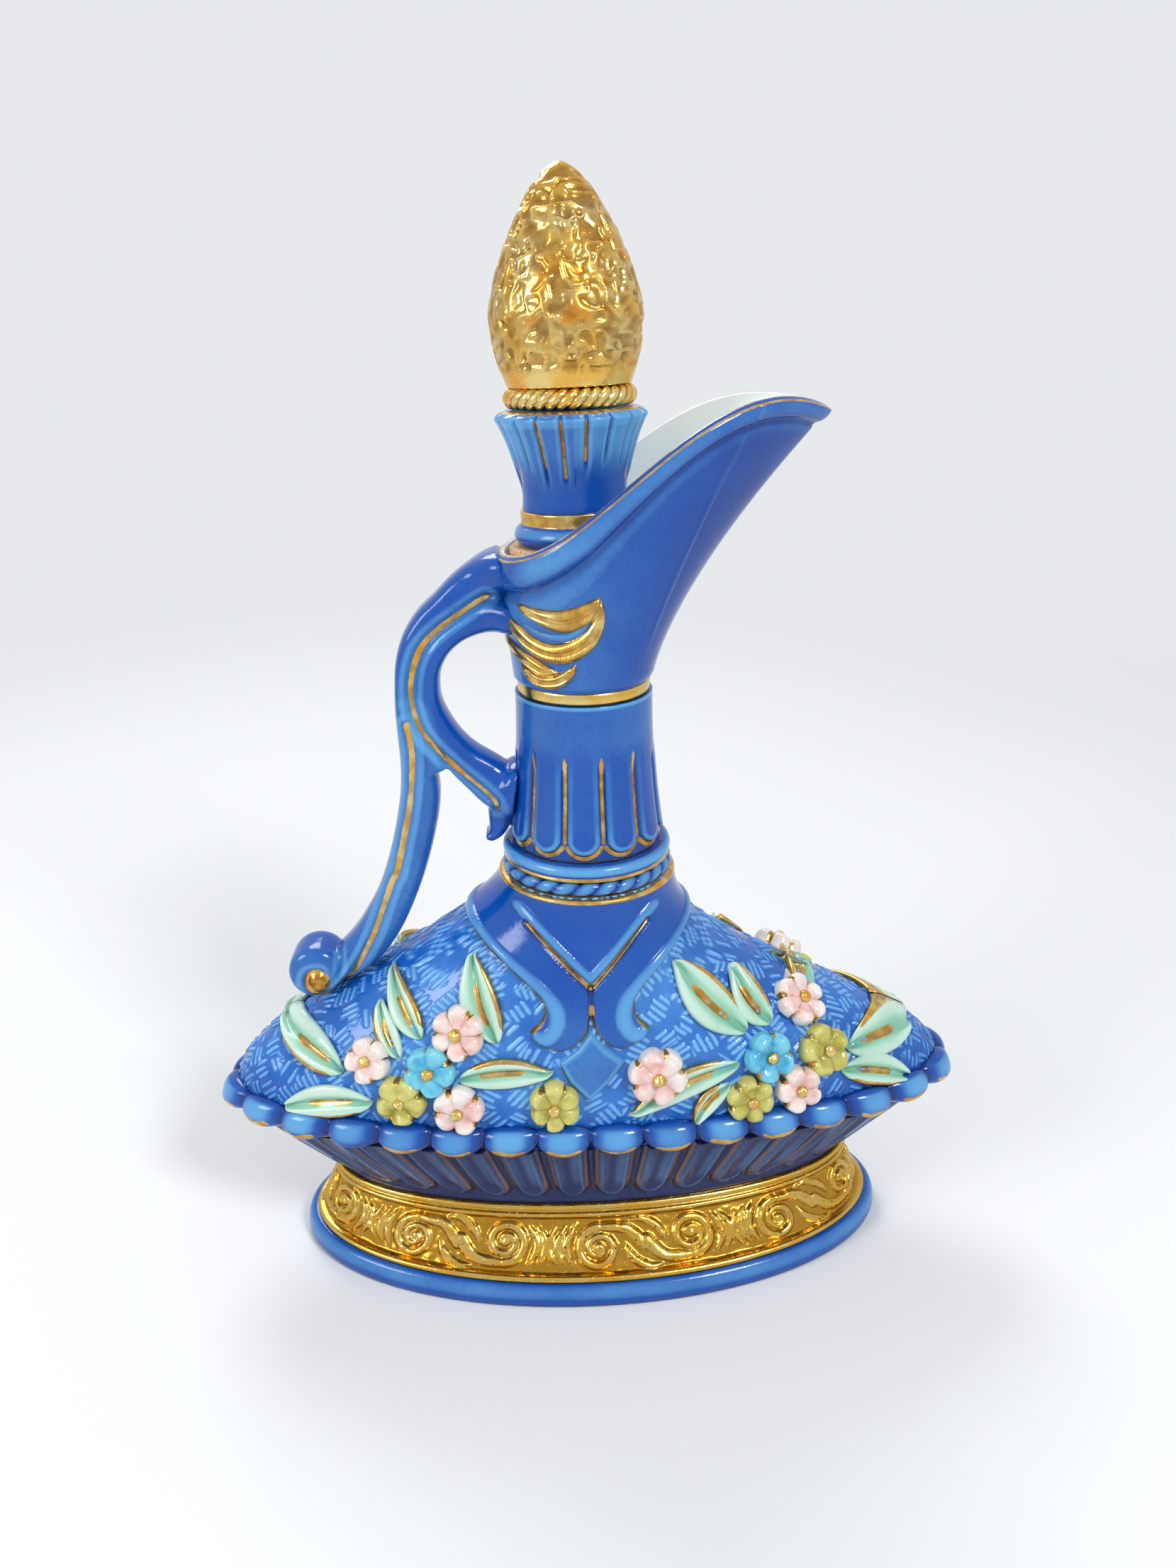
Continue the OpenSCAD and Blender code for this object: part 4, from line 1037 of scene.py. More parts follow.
LEAVES = [
    (-79.5, 79.5, -103, 86, 5.0, -1.5, 1), (-70.5, 71, -101, 64.5, 4.8, -1.5, 1),
    (-54, 92, -63.5, 107, 4.2, 1.0, -1), (-61, 85.5, -67, 100, 3.4, 1.5, 1),
    (-30.2, 92.4, -36.5, 117, 5.4, 2.5, -1), (-43, 80.6, -13, 83.4, 4.3, 1.5, 1),
    (48.5, 90, 25, 114, 5.2, 2.0, -1), (57, 90.5, 44, 107, 4.0, 1.5, -1),
    (75, 93, 66, 101, 3.2, 1.0, 1), (82.5, 78.5, 109, 75.5, 4.6, 1.5, 1),
    (80, 73, 106, 63.5, 4.2, 1.5, -1), (46, 81.5, 10, 67.5, 4.2, -3.0, -1),
    (42.5, 75.5, 30.5, 62.5, 3.2, -2.0, -1)]


def leaf_grid(x0, z0, x1, z1, half, bend, side):
    """A leaf's closed skin and the marks of its vein, edges and gold."""
    over, under = 23, 5
    u = np.linspace(0.0, 1.0, 46)[:, None]
    v = np.concatenate([np.linspace(-1, 1, over), np.linspace(1, -1, under)[1:-1]])
    top = np.arange(len(v)) < over
    start, end = np.array([x0, z0]), np.array([x1, z1])
    way = unit(end - start)
    across = np.array([-way[1], way[0]])
    width = 1.16 * half * np.sin(math.pi * u**0.9) ** 0.72
    drift = bend * np.sin(math.pi * u) * 0.8
    place = start + (end - start) * u[..., None] + across * (v * width + drift)[..., None]
    vein = np.abs(v) * width
    body = 0.9 * np.sqrt(np.clip(1 - v**2, 0, 1)) ** 0.5 + 1.3 * ridge(np.abs(v) - 0.68, 0.42) + 0.15
    lift = body * np.minimum(1, width / 1.6) * (0.75 + 0.5 * u) - 0.75 * ridge(vein, 0.75) * ease(width / 2)
    gold_vein = 1.0 - vein - 1.5 * ease((np.abs(u - 0.46) - 0.16) / 0.16)
    gold_edge = 1.35 - np.abs(v - side) * half - 1.5 * ease((0.22 - u) / 0.12) - 1.2 * ease((u - 0.9) / 0.1)
    # Paler on the raised edges and towards the tip (painted highlight), darker along the vein and towards
    # the stalk (painted shade).
    marks = {"gilt": np.where(top, np.maximum(gold_vein, gold_edge), -3.0),
             "milk": np.where(top, ridge(np.abs(v) - 0.74, 0.4) * 0.75 + 0.25 * u, 0.0),
             "pool": np.where(top, ridge(vein, 1.4) * 0.35 + 0.15 * (1 - u), 0.5)}
    return on_front(place[..., 0], place[..., 1], np.where(top, lift, -0.7)), marks


def make_leaves():
    """Mint leaves, front and back."""
    front, back = Form(), Form()
    for leaf in LEAVES:
        grid, marks = leaf_grid(*leaf)
        front.add(grid, **marks)
        grid, marks = mirrored(grid, marks)
        back.add(grid, **marks)
    front.piece("mint_leaves_front", "mint", ["leaves_front"], "mint_glaze")
    back.piece("mint_leaves_back", "mint", ["leaves_back"], "mint_glaze")


# Blossoms: x, z, radius, petals and turn, by glaze.

BLOSSOMS = {
    "pink": [(-71, 84, 7.6, 5, 10), (-42, 95, 8.8, 6, 0), (-43, 71, 8.2, 5, 40), (19, 81, 9.4, 6, 15),
             (67, 93, 8.8, 6, 30), (65, 70.5, 7.8, 5, 0)],
    "yellow": [(-61, 73, 8.2, 5, 25), (-13, 72.5, 8.4, 6, 0), (74, 80, 8.6, 5, 60), (49, 69.5, 7.9, 6, 10)],
    "turquoise": [(-51.5, 83, 8.3, 5, 30), (55, 82, 8.2, 5, 5)],
}


def blossom_grid(x, z, radius, petals, start):
    """A domed blossom with creased petals, and the marks of its gold dabs."""
    place, out, flat, rise = seat_of(front_turn(np.array(x, float), z), z)
    turn = turns_around(84)
    petal = (turn - math.radians(start)) * petals / TAU
    local = petal % 1.0
    bulge = np.sin(math.pi * local) ** 0.5
    own = scattered(np.floor(petal % petals).astype(int), int(x * 3 + z))
    reach = radius * (0.80 + 0.20 * bulge + 0.06 * (own - 0.5))
    rho = np.linspace(0.02, 1.0, 24)[:, None]
    crease = (1 - bulge) * ease(rho * 1.6)
    lumps = grain(xyz(radius * rho * np.cos(turn), radius * rho * np.sin(turn), float(x + z)), 2.3, 4)
    dome = 0.50 * radius * np.clip(1 - rho**2.4, 0, 1) ** 0.62
    cup = 0.10 * radius * ridge(rho - 0.70, 0.3) * bulge - 0.07 * radius * ridge(rho, 0.35) + 0.75 * lumps
    height = dome + cup - 0.19 * radius * crease * np.sqrt(np.clip(1.05 - rho, 0, 1))
    spread = np.sin(rho * math.pi / 2) ** 0.9 * reach
    skin = (place + flat * (np.cos(turn) * spread)[..., None] + rise * (np.sin(turn) * spread)[..., None]
            + out * (0.5 + height)[..., None])
    foot_turn = front_turn(skin[-1, :, 0], skin[-1, :, 2])
    foot = shoulder_at(foot_turn, skin[-1, :, 2]) - 0.8 * shoulder_out(foot_turn, skin[-1, :, 2])
    middle = np.broadcast_to(place - 0.8 * out, foot.shape)
    crown = np.broadcast_to(skin[:1].mean(1, keepdims=True), skin[:1].shape)
    grid = np.concatenate([crown, skin, foot[None], middle[None]])[::-1]
    notch = np.minimum(local, 1 - local) * TAU / petals
    dab = 0.15 * radius - np.hypot(notch * spread * 1.1, (rho - 0.84) * radius * 0.55) + 0.25 * lumps
    dab = dab - 3.0 * (own < 0.25)
    # Paler towards the petal rims and on some petals (painted highlight with random tone); darker in the
    # creases and in the middle under the gold bead (painted shade).
    pale = 0.35 + 0.6 * rho**1.5 + 0.35 * own * bulge - 0.3 * crease + 0.5 * lumps
    dark = 0.5 * crease + 0.3 * ridge(rho, 0.45)
    marks = {}
    for mark, values, below in (("gilt", dab, -3.0), ("milk", pale, 0.8), ("pool", dark, 0.3)):
        values = np.broadcast_to(values, spread.shape)
        marks[mark] = np.concatenate([values[:1], padded(values, spread.shape, after=2, fill=below)])[::-1]
    return grid, marks


def make_blossoms():
    """Blossoms of each colour, front and back."""
    for tint, blossoms in BLOSSOMS.items():
        form = Form()
        for blossom in blossoms:
            form.both(*blossom_grid(*blossom))
        form.piece(tint + "_blossoms", tint, [tint + "_flowers"], tint + "_glaze")


def make_beads():
    """Gold centres of the blossoms: small uneven drops."""
    form = Form()
    turn = turns_around(24)
    tilt = np.linspace(0, math.pi, 14)[:, None]
    ball = xyz(np.sin(tilt) * np.cos(turn), np.sin(tilt) * np.sin(turn), -np.cos(tilt))
    for x, z, radius, _, start in sum(BLOSSOMS.values(), []):
        place, out, flat, rise = seat_of(front_turn(np.array(x, float), z), z)
        centre = place + out * (0.62 * radius * 0.78 + 0.75)
        lump = 0.23 * radius * (1 + 0.22 * grain(ball * 3 + start, 1.7, 2))[..., None]
        grid = centre + (ball[..., :1] * flat + ball[..., 1:2] * rise + 0.8 * ball[..., 2:] * out) * lump
        # Painted shade: darker band round the side of each bead nearer the blossom.
        form.both(grid, {"pool": 0.4 * ridge(tilt - 1.2, 0.6)})
    form.piece("blossom_hearts", "gold", ["flower_beads"], "gold_lustre")


# Neck.

def rope_rows(inner_r, tube_r, z, strands, slant, per=16, sides=28):
    """A ring of twisted strands and how high each point stands on its strand."""
    turn = turns_around(strands * per)
    a = -np.linspace(0, TAU, sides, endpoint=False)[:, None]
    crown = np.abs(np.sin((strands * turn + slant * a) / 2)) ** 0.6
    r = tube_r * (0.74 + 0.26 * crown)
    out = inner_r + tube_r - r * np.cos(a)
    return oval_rows(out, out, z + r * np.sin(a), turn), crown


def make_rope_ring():
    """The roped ring at the foot of the neck."""
    grid, crown = rope_rows(22.9, 2.1, NECK_Z + 0.3 + 2.1, 26, 1.4)
    # Pale on the crowns of the strands (painted highlight), darker between them (painted shade).
    form = Form().add(grid, along=True, milk=1.15 * crown - 0.35, pool=0.9 - 1.3 * crown)
    form.piece("roped_ring", "cobalt", ["rope_ring"], "sky_glaze")


def make_neck_roll():
    """The plain roll above the rope, with gold in the joint between them."""
    edge = curve([(22.6, NECK_Z), (22.6, ROLL_Z - 1.7), (23.4, ROLL_Z - 1.35), (25.7, ROLL_Z - 1.3),
                  (26.5, ROLL_Z - 0.6), (26.3, ROLL_Z + 0.2), (26.7, ROLL_Z + 1.2), (26.7, ROLL_Z + 2.2),
                  (26.2, ROLL_Z + 3.2), (25.1, FLUTE_Z - 0.1), (24.2, FLUTE_Z)], 56)
    rows = np.vstack([edge, [(BORE_R, FLUTE_Z), (BORE_R, NECK_Z)]])
    out, z = rows[:, :1], rows[:, 1:]
    # Painted highlight: a pale band along the upper part of the roll.
    form = Form().add(lathe(rows, turns_around(240)), along=True,
                      gilt=np.where(out > 22.9, 0.85 - np.abs(z - ROLL_Z + 0.6), -2.0),
                      milk=ridge(z - ROLL_Z - 2.4, 1.5) * (out > 24))
    form.piece("plain_roll", "cobalt", ["neck_roll"], "cobalt_glaze")


def make_neck():
    """The fluted neck: tall panels with round ends, gold in the grooves and under the ends."""
    neck = settings().neck
    per, first_groove = 46, math.radians(10.8)
    number, phase = columns(neck.flutes, per)
    turn = first_groove + turns_around(neck.flutes * per)
    tall = BAND_Z - FLUTE_Z
    h = np.linspace(0, tall, 120)[:, None]
    wall = 21.0 + 3.8 * (1 - h / tall) ** 2.2
    pitch = TAU * wall / neck.flutes
    x = (phase - 0.5) * pitch
    wide = 0.45 * pitch - 0.5
    low_end = 2.6 + wide
    edge = np.where(h < low_end, np.hypot(x, (h - low_end) * 1.1), np.abs(x)) - wide
    groove_x = np.abs(from_groove(phase) * pitch)
    ends = 31.0 + 5.0 * scattered(np.round(number + (phase > 0.5)) % neck.flutes, 3)
    fade = ease((ends - h) / 9.0)
    depth = mm(neck.flute_depth) * ease((edge + 0.5) / 1.2) * fade
    r = wall + (0.35 * ridge(x, wide) * fade - depth - 0.5 * ease(1.0 - h))
    outer = oval_rows(r, r, FLUTE_Z + h, turn)
    brim = lathe([(20.6, BAND_Z), (BORE_R, BAND_Z), (BORE_R, FLUTE_Z)], turn)
    line = 0.62 - groove_x - 1.5 * ease((h - ends + 4.0) / 5.0) - 1.5 * ease((6.5 - h) / 2.0)
    cap = 0.95 - np.abs(edge - 1.0) - 2.0 * ease((h - 4.6) / 2.0)
    gold = np.maximum(np.maximum(line, cap), 0.5 - np.abs(h - 0.2))
    # Pale along the panels' edges and rounded lower ends and at the top edge (painted highlight), paler
    # towards the top; darker in the grooves and low in the panels' middles (painted shade).
    rim = ridge(edge + 0.9, 1.0) * fade
    milk = (rim * 0.5 * ease((16 - h) / 16) + rim * 0.25 + 0.22 * ease((h - 26) / 14)
            + 0.7 * ridge(h - tall, 1.2))
    pool = ridge(x, wide * 0.9) * 0.25 * fade * ease((16 - h) / 14) + 0.6 * ease((edge + 0.4) / 0.6) * fade
    pad = partial(padded, shape=x.shape, after=len(brim))
    form = Form().add(np.concatenate([outer, brim]), along=True, gilt=pad(gold, fill=-3.0), milk=pad(milk),
                      pool=pad(pool))
    form.piece("neck_panels", "cobalt", ["fluted_neck"], "cobalt_glaze")


def make_neck_band():
    """The gold band set back between the neck and the head."""
    rows = [(20.0, BAND_Z), (20.15, BAND_Z + 1.0), (20.2, (BAND_Z + HEAD_Z) / 2), (20.15, HEAD_Z - 1.0),
            (20.0, HEAD_Z), (BORE_R, HEAD_Z), (BORE_R, BAND_Z)]
    # Painted shade: a little darker brown gold over the whole set-back band.
    form = Form().add(lathe(rows, turns_around(200)), along=True, pool=0.2)
    form.piece("gold_band", "gold", ["neck_band"], "gold_lustre")


# Head: mouth and spout.

HEAD_TURN = math.radians(3.0)
HEAD_FOOT_R = 21.2
RIM_RUN = 80.0
LEDGE_Z = HEAD_Z + 21.4


def rim_at(turn, inset):
    """The rim of the mouth at a turn, drawn in by inset."""
    neck = settings().neck
    back = mm(neck.mouth_back) - inset
    reach = mm(neck.spout_reach) - 1.8 * inset
    half = mm(neck.mouth_half) - inset
    front = np.cos(turn) > 0
    u = np.where(front, reach, back) * np.cos(turn)
    narrowing = np.clip(1 - (np.clip(u, 0, None) / reach) ** 2.1, 0, 1) ** 0.8
    v = np.where(front, np.sign(np.sin(turn)) * half * narrowing, half * np.sin(turn))
    climb = np.minimum(np.radians(140), math.pi / 2 * (u + mm(neck.mouth_back)) / RIM_RUN)
    z = HEAD_Z + mm(neck.back_height) + mm(neck.rim_rise) * np.sin(np.clip(climb, 0, None)) ** 1.6
    return u, v, z


def cheek(turn, share, out=0.0):
    """The head's outside at a turn and a share of the wall's height."""
    u, v, z = rim_at(turn, 0.0)
    f = share ** (1 + 0.4 * np.maximum(np.cos(turn), 0))
    x = HEAD_FOOT_R * np.cos(turn) * (1 - f) + u * f + out * np.cos(turn)
    y = HEAD_FOOT_R * np.sin(turn) * (1 - f) + v * f + out * np.sin(turn)
    return xyz(x, y, HEAD_Z + (z - HEAD_Z) * share)


def turned(points):
    """Points of the head, turned about the neck's axis."""
    c, s = math.cos(HEAD_TURN), math.sin(HEAD_TURN)
    return points @ np.array([[c, s, 0], [-s, c, 0], [0, 0, 1]])


def make_head():
    """The mouth and swept spout: rolled lip, thin gold rim, white inside."""
    neck = settings().neck
    turn = turns_around(420)
    wall_h = rim_at(turn, 0.0)[2] - HEAD_Z
    spoutward = np.maximum(np.cos(turn), 0)
    lip = mm(neck.lip_height) * (1 - 0.6 * spoutward)
    body_share = np.linspace(0, 1, 64)[:, None] * (1 - 1.45 * lip / wall_h)
    lip_share = 1 - lip * np.linspace(1.45, 0, 34)[1:, None] / wall_h
    share = np.concatenate([body_share, lip_share])
    below = (1 - share) * wall_h / lip
    roll = mm(neck.lip_swell) * np.sqrt(np.clip(1 - ((below - 0.48) / 0.52) ** 2, 0, 1))
    groove = 0.6 * np.exp(-((below - 1.15) / 0.2) ** 2)
    chine_gap = np.degrees(turn + math.pi) % 360 - 180 + 48
    chine = 0.35 * ridge(chine_gap / (0.6 + 2.5 * (1 - share)), 1.0)
    fillet = 0.8 * ease((0.03 - share) / 0.03)
    outer = cheek(turn, share, roll - groove - fillet + chine * ease((share - 0.1) / 0.2))
    thick = mm(neck.wall)
    over = []
    for k in np.linspace(0, math.pi, 9)[1:-1]:
        a, b, c = rim_at(turn, thick * (1 - math.cos(k)) / 2)
        over.append(np.stack([a, b, c + 0.9 * math.sin(k)], -1))
    s = np.linspace(1, 0, 44)[:, None]
    a, b, c = rim_at(turn, thick)
    f = s ** (1 + 0.1 * spoutward)
    seat_r = HEAD_FOOT_R - 0.7
    throat = np.stack([seat_r * np.cos(turn) * (1 - f) + a * f, seat_r * np.sin(turn) * (1 - f) + b * f,
                       LEDGE_Z + (c - 0.5 - LEDGE_Z) * s], -1)
    bore = lathe([(18.7, LEDGE_Z), (18.4, LEDGE_Z - 0.5), (BORE_R + 0.8, HEAD_Z)], turn)
    grid = np.concatenate([outer, np.stack(over), throat, bore])
    n_out, n_over, n_in = len(outer), len(over), len(throat) + len(bore)
    bare = np.concatenate([np.zeros(n_out), np.linspace(0, 1, n_over), np.ones(n_in)])[:, None]
    pad = partial(padded, shape=outer.shape[:2], after=n_over + n_in)
    gold = pad(0.35 - below * lip, fill=-2.0)
    gold[n_out:n_out + n_over] = 0.16 - np.abs(np.linspace(-0.6, 0.8, n_over))[:, None]
    # Pale along the lip roll, below the groove and along the chine (painted highlight), paler towards the
    # handle side away from the rim; darker in the groove under the lip (painted shade) and towards the
    # spout's lower front.
    rear = 0.5 - 0.5 * np.cos(turn)
    thin = (0.3 + 0.45 * rear) * ridge(below - 0.38, 0.45) * (1 - 0.9 * ease((rear - 0.80) / 0.15))
    thin = thin + 0.25 * ridge(below - 1.5, 0.5)
    thin = thin + 0.5 * chine * ease(share * 3) + 0.30 * ease(1.4 * rear - 0.1) * ease((1 - share) / 0.5)
    pool = 0.5 * ridge(below - 1.1, 0.35) + 0.5 * ease((0.4 - rear) / 0.35) * ease((below - 0.9) / 0.8)
    form = Form().add(turned(grid), along=True, bare=bare, gilt=gold, milk=pad(thin), pool=pad(pool))
    form.piece("spouted_head", "cobalt", ["spout_head"], "cobalt_glaze")


# Acanthus: x, z and half width along each blade, as seen from the front.

ACANTHUS = [
    [(-18.5, 226.2, 0.5), (-13.5, 224.2, 1.7), (-7.5, 222.8, 2.7), (-2.4, 224.0, 2.6), (1.0, 226.4, 1.8),
     (3.4, 229.0, 0.6)],
    [(4.0, 228.2, 0.5), (3.4, 222.6, 1.5), (0.6, 217.4, 2.2), (-4.8, 213.8, 2.6), (-10.3, 213.2, 2.4),
     (-15.5, 215.4, 1.9), (-19.0, 218.8, 1.3), (-21.8, 221.6, 0.6)],
    [(-22.2, 214.6, 0.5), (-17.8, 211.2, 1.3), (-13.2, 208.3, 1.7), (-8.8, 207.2, 0.6)],
    [(-18.0, 207.4, 0.5), (-13.6, 204.4, 1.5), (-9.0, 204.6, 1.9), (-5.4, 206.8, 1.3), (-3.4, 209.6, 0.5)]]
BETWEEN_BLADES = [(-17.5, 220.8, 0.5), (-11.5, 218.4, 1.1), (-5.5, 218.2, 1.3), (-1.2, 220.6, 1.0),
                  (1.4, 224.0, 0.4)]
BLADE_SWELL = 1.28


def make_acanthus():
    """Gold acanthus curls on both cheeks of the head, with a blue rib between two of them."""
    turn = np.radians(np.linspace(176, 290, 250))
    base = cheek(turn, np.linspace(0.02, 0.9, 190)[:, None])
    flat = base[..., [0, 2]] + [1.05, 0.0]
    gold = np.zeros(flat.shape[:2])
    vein = np.full(flat.shape[:2], 9.0)
    for blade in ACANTHUS:
        gold = np.maximum(gold, swell(flat, np.array(blade) * [1, 1, BLADE_SWELL], 60))
        vein = np.minimum(vein, away(flat, curve(blade, 30)[:, :2]))
    rib = 0.6 * swell(flat, BETWEEN_BLADES)
    rise = -0.7 + 2.5 * np.maximum(gold, rib) - 0.6 * ridge(vein, 0.9) * (gold > 0.3)
    grid = base + outward(base, around=False) * rise[..., None]
    # Painted shade in the veins of the gold blades; the blue rib between them pale.
    marks = {"gilt": np.where(gold > rib, 2.0 * gold - 0.5, -2.0), "pool": 0.4 * ridge(vein, 1.0),
             "milk": 0.5 * (rib > gold)}
    form = Form().both(grid, marks, around=False, keep=np.maximum(gold, rib) > 0)
    form.points = [turned(points) for points in form.points]
    form.piece("acanthus_curls", "cobalt", ["head_acanthus"], "gold_lustre")


# Handle: x, z and half width along each limb, in the plane of the foot's length.

OUTER_LIMB = [
    (-22.6, 234.3, 6.0), (-27.4, 232.6, 6.0), (-34.7, 229.0, 4.8), (-41.2, 223.7, 4.1), (-46.4, 219.4, 3.7),
    (-50.8, 213.9, 3.1), (-53.4, 207.6, 2.7), (-54.5, 201, 2.5), (-54.8, 191.8, 2.7), (-54, 183.5, 3.4),
    (-52.4, 176, 4.9), (-51.6, 168.7, 6), (-52.1, 161.5, 6.4), (-54.2, 151.7, 6.4), (-57.3, 141, 6.3),
    (-61.5, 130, 6.2), (-66.5, 120.5, 6.4), (-72.1, 112.6, 6.3), (-79, 106.4, 5.6), (-84, 103.4, 5.0)]
INNER_LIMB = [
    (-20.5, 220.2, 5.6), (-25.6, 220.7, 5.3), (-31.5, 219.3, 4.6), (-37.6, 216, 3.7), (-42.7, 211.4, 3.5),
    (-45.9, 205.7, 3.5), (-47.1, 200.1, 3.7), (-47, 194, 3.9), (-45.3, 187.2, 4.7), (-42, 181, 5.1),
    (-37.6, 175.3, 5.8), (-31.5, 169.8, 7), (-26.9, 166.0, 7.6), (-22.0, 165.0, 9.2)]
SPUR = [
    (-25.5, 163.0, 5.6), (-26.5, 158.4, 4.6), (-27.3, 154.4, 3.7), (-28.3, 151.4, 2.8), (-30.2, 149.3, 1.7),
    (-32.0, 149.6, 0.7)]
JOINT_FILL = [
    (-21.5, 229.5, 3.2), (-27.9, 227, 2.6), (-36.3, 221.7, 2.3), (-43.8, 216.4, 2.2), (-48.7, 210.9, 2.0),
    (-51.4, 203.3, 1.9), (-51.6, 195.6, 2.0), (-49.6, 186.4, 2.6), (-47.5, 180, 3.6), (-45.2, 172.5, 3.4)]
JOINT_GOLD = [
    (-27.9, 227), (-36.3, 221.7), (-43.8, 216.4), (-48.7, 210.9), (-51.4, 203.3), (-52, 195.6),
    (-49.8, 186.4), (-44.9, 179.5), (-39, 173.2), (-32.9, 167.5), (-28.6, 163.4), (-27.6, 160.0)]
TAIL_GOLD = [
    (-53.9, 188.5), (-52.9, 178.4), (-54.6, 163.5), (-57.8, 149.5), (-60.5, 139.5), (-62.5, 135.7),
    (-69.4, 118.2), (-76.9, 104.9), (-82.3, 99.2), (-85.4, 97.0), (-88.6, 96.4), (-91.2, 98.4),
    (-92.3, 102.0), (-90.8, 104.9), (-88.2, 105.3)]
KNOB_CREASE = [(-81.4, 114.0), (-81.0, 108.5), (-82.0, 103.6), (-85.0, 100.4)]
KNOB_EDGE = [
    (0, -8.4), (5.6, -8.4), (8.0, -7.4), (9.0, -5.2), (9.2, 0), (9.0, 5.2), (8.0, 7.4), (5.6, 8.4), (0, 8.4)]
KNOB = (-89.3, 104.3)
EYE = (-88.3, 101.8)
FLARE = 11.0
VOXEL = 0.62
SOFTENING_PASSES = 5


def rounded(turning, power=0.72):
    """A sine or cosine drawn towards a square."""
    return np.sign(turning) * np.abs(turning) ** power


def limb_grid(path, depth, root=0.0, end=0.0):
    """A rounded limb swept in the plane y = 0, closed at its ends; root and end flare it sideways."""
    line = curve(path, 6 * len(path))
    way = unit(np.gradient(line[:, :2], axis=0))
    run = run_along(line[:, :2])[:, None]
    depth = depth + root * (1 - ease(run / FLARE)) + end * (1 - ease((run[-1] - run) / FLARE))
    turn = turns_around(36)
    a, b = rounded(np.cos(turn)), rounded(np.sin(turn))
    x = line[:, :1] - way[:, 1:] * line[:, 2:] * a
    z = line[:, 1:2] + way[:, :1] * line[:, 2:] * a
    grid = xyz(x, depth * b, z)
    ends = [np.broadcast_to(g.mean(0), g.shape)[None] for g in (grid[0], grid[-1])]
    return np.concatenate([ends[0], grid, ends[1]])


def melted(form, name):
    """One smooth skin over the form's overlapping solids."""
    lump = put_on_scene(name, form.mesh(name))
    melt = lump.modifiers.new("melt", "REMESH")
    melt.mode, melt.voxel_size = "VOXEL", VOXEL * MM
    soften = lump.modifiers.new("soften", "SMOOTH")
    soften.factor, soften.iterations = 0.5, SOFTENING_PASSES
    depsgraph = bpy.context.evaluated_depsgraph_get()
    mesh = bpy.data.meshes.new_from_object(lump.evaluated_get(depsgraph))
    bpy.data.objects.remove(lump)
    mesh.name = name
    return mesh


def handle_form():
    """The handle's solids: two limbs, spur, the fill between the limbs, and the volute."""
    form = Form()
    form.add(limb_grid(OUTER_LIMB, 7.5, root=5.5))
    form.add(limb_grid(INNER_LIMB, 6.9, root=4.5, end=3.5))
    form.add(limb_grid(SPUR, 5.0))
    form.add(limb_grid(JOINT_FILL, 6.3))
    disc = curve(KNOB_EDGE, 40)
    turn = turns_around(64)
    return form.add(xyz(KNOB[0] + disc[:, :1] * np.cos(turn), disc[:, 1:],
                        KNOB[1] - disc[:, :1] * np.sin(turn)))


def make_handle():
    """The scrolled handle as one glazed form, with gold in its grooves."""
    mesh = melted(handle_form(), "scrolled_handle")
    co = np.empty(len(mesh.vertices) * 3)
    mesh.vertices.foreach_get("co", co)
    co = co.reshape(-1, 3) / MM
    flat = co[:, [0, 2]]
    face = ease((np.abs(co[:, 1]) - 2.5) / 2.5)
    joint, tail = away(flat, curve(JOINT_GOLD, 90)), away(flat, curve(TAIL_GOLD, 120))
    crease = away(flat, curve(KNOB_CREASE, 20))
    eye = np.hypot(*((flat - EYE) / (1.0, 1.05)).T)
    cut = (1.3 * ridge(joint, 1.9) + 1.0 * ridge(tail, 1.6) + 0.7 * ridge(crease, 1.1)
           + 0.5 * ridge(eye - 4.0, 0.7))
    co[:, 1] -= np.sign(co[:, 1]) * (cut - 0.2 * ridge(eye, 3.6)) * face
    mesh.vertices.foreach_set("co", (co * MM).ravel())
    gold = np.maximum(0.75 - joint, 0.85 - tail) + 0.15 * grain(flat, 7.0)
    gold = np.where(np.abs(co[:, 1]) > 2.0, np.maximum(gold, 3.7 - eye), -3.0)
    # Pale on the ridges beside the gold grooves and the crease (painted highlight); darker in the joint
    # groove, towards the lower end and in the eye of the volute (painted shade).
    pale = 0.55 * ridge(joint - 2.2, 1.7) + 0.6 * ridge(tail - 2.2, 1.6) + 0.4 * ridge(crease - 1.4, 1.0)
    dark = (0.45 * ridge(joint, 1.7) * face + 0.3 * ease((104 - flat[:, 1]) / 8)
            + 1.1 * ease((3.4 - eye) / 1.5))
    marks = {"gilt": gold, "milk": (pale + 0.3 * ridge(tail - 5.5, 3.5)) * face, "pool": dark}
    for mark, absent in MARKS.items():
        set_mark(mesh, mark, np.broadcast_to(marks.get(mark, absent), len(co)))
    mesh.shade_smooth()
    make_piece("scrolled_handle", mesh, "cobalt",
               ["handle_outer_limb", "handle_inner_limb", "handle_spur", "handle_scroll"])


# Stopper: worked out upright above the gold band, then leaned about the band's middle.

ROLL_LOW = 40.4
COLLAR_LOW = 50.4
COLLAR_H = 27.5
ROPE_LOW = COLLAR_LOW + COLLAR_H
EGG_LOW = ROPE_LOW + 6.0


def leaned(points):
    """Points above the gold band, leaned with the stopper."""
    angle = settings().stopper.lean
    c, s = math.cos(angle), math.sin(angle)
    up = points + [0.0, 0.0, HEAD_Z - BAND_Z]
    x, z = up[..., 0] * c - up[..., 2] * s, up[..., 0] * s + up[..., 2] * c
    return np.stack([x, up[..., 1], z + BAND_Z], -1)


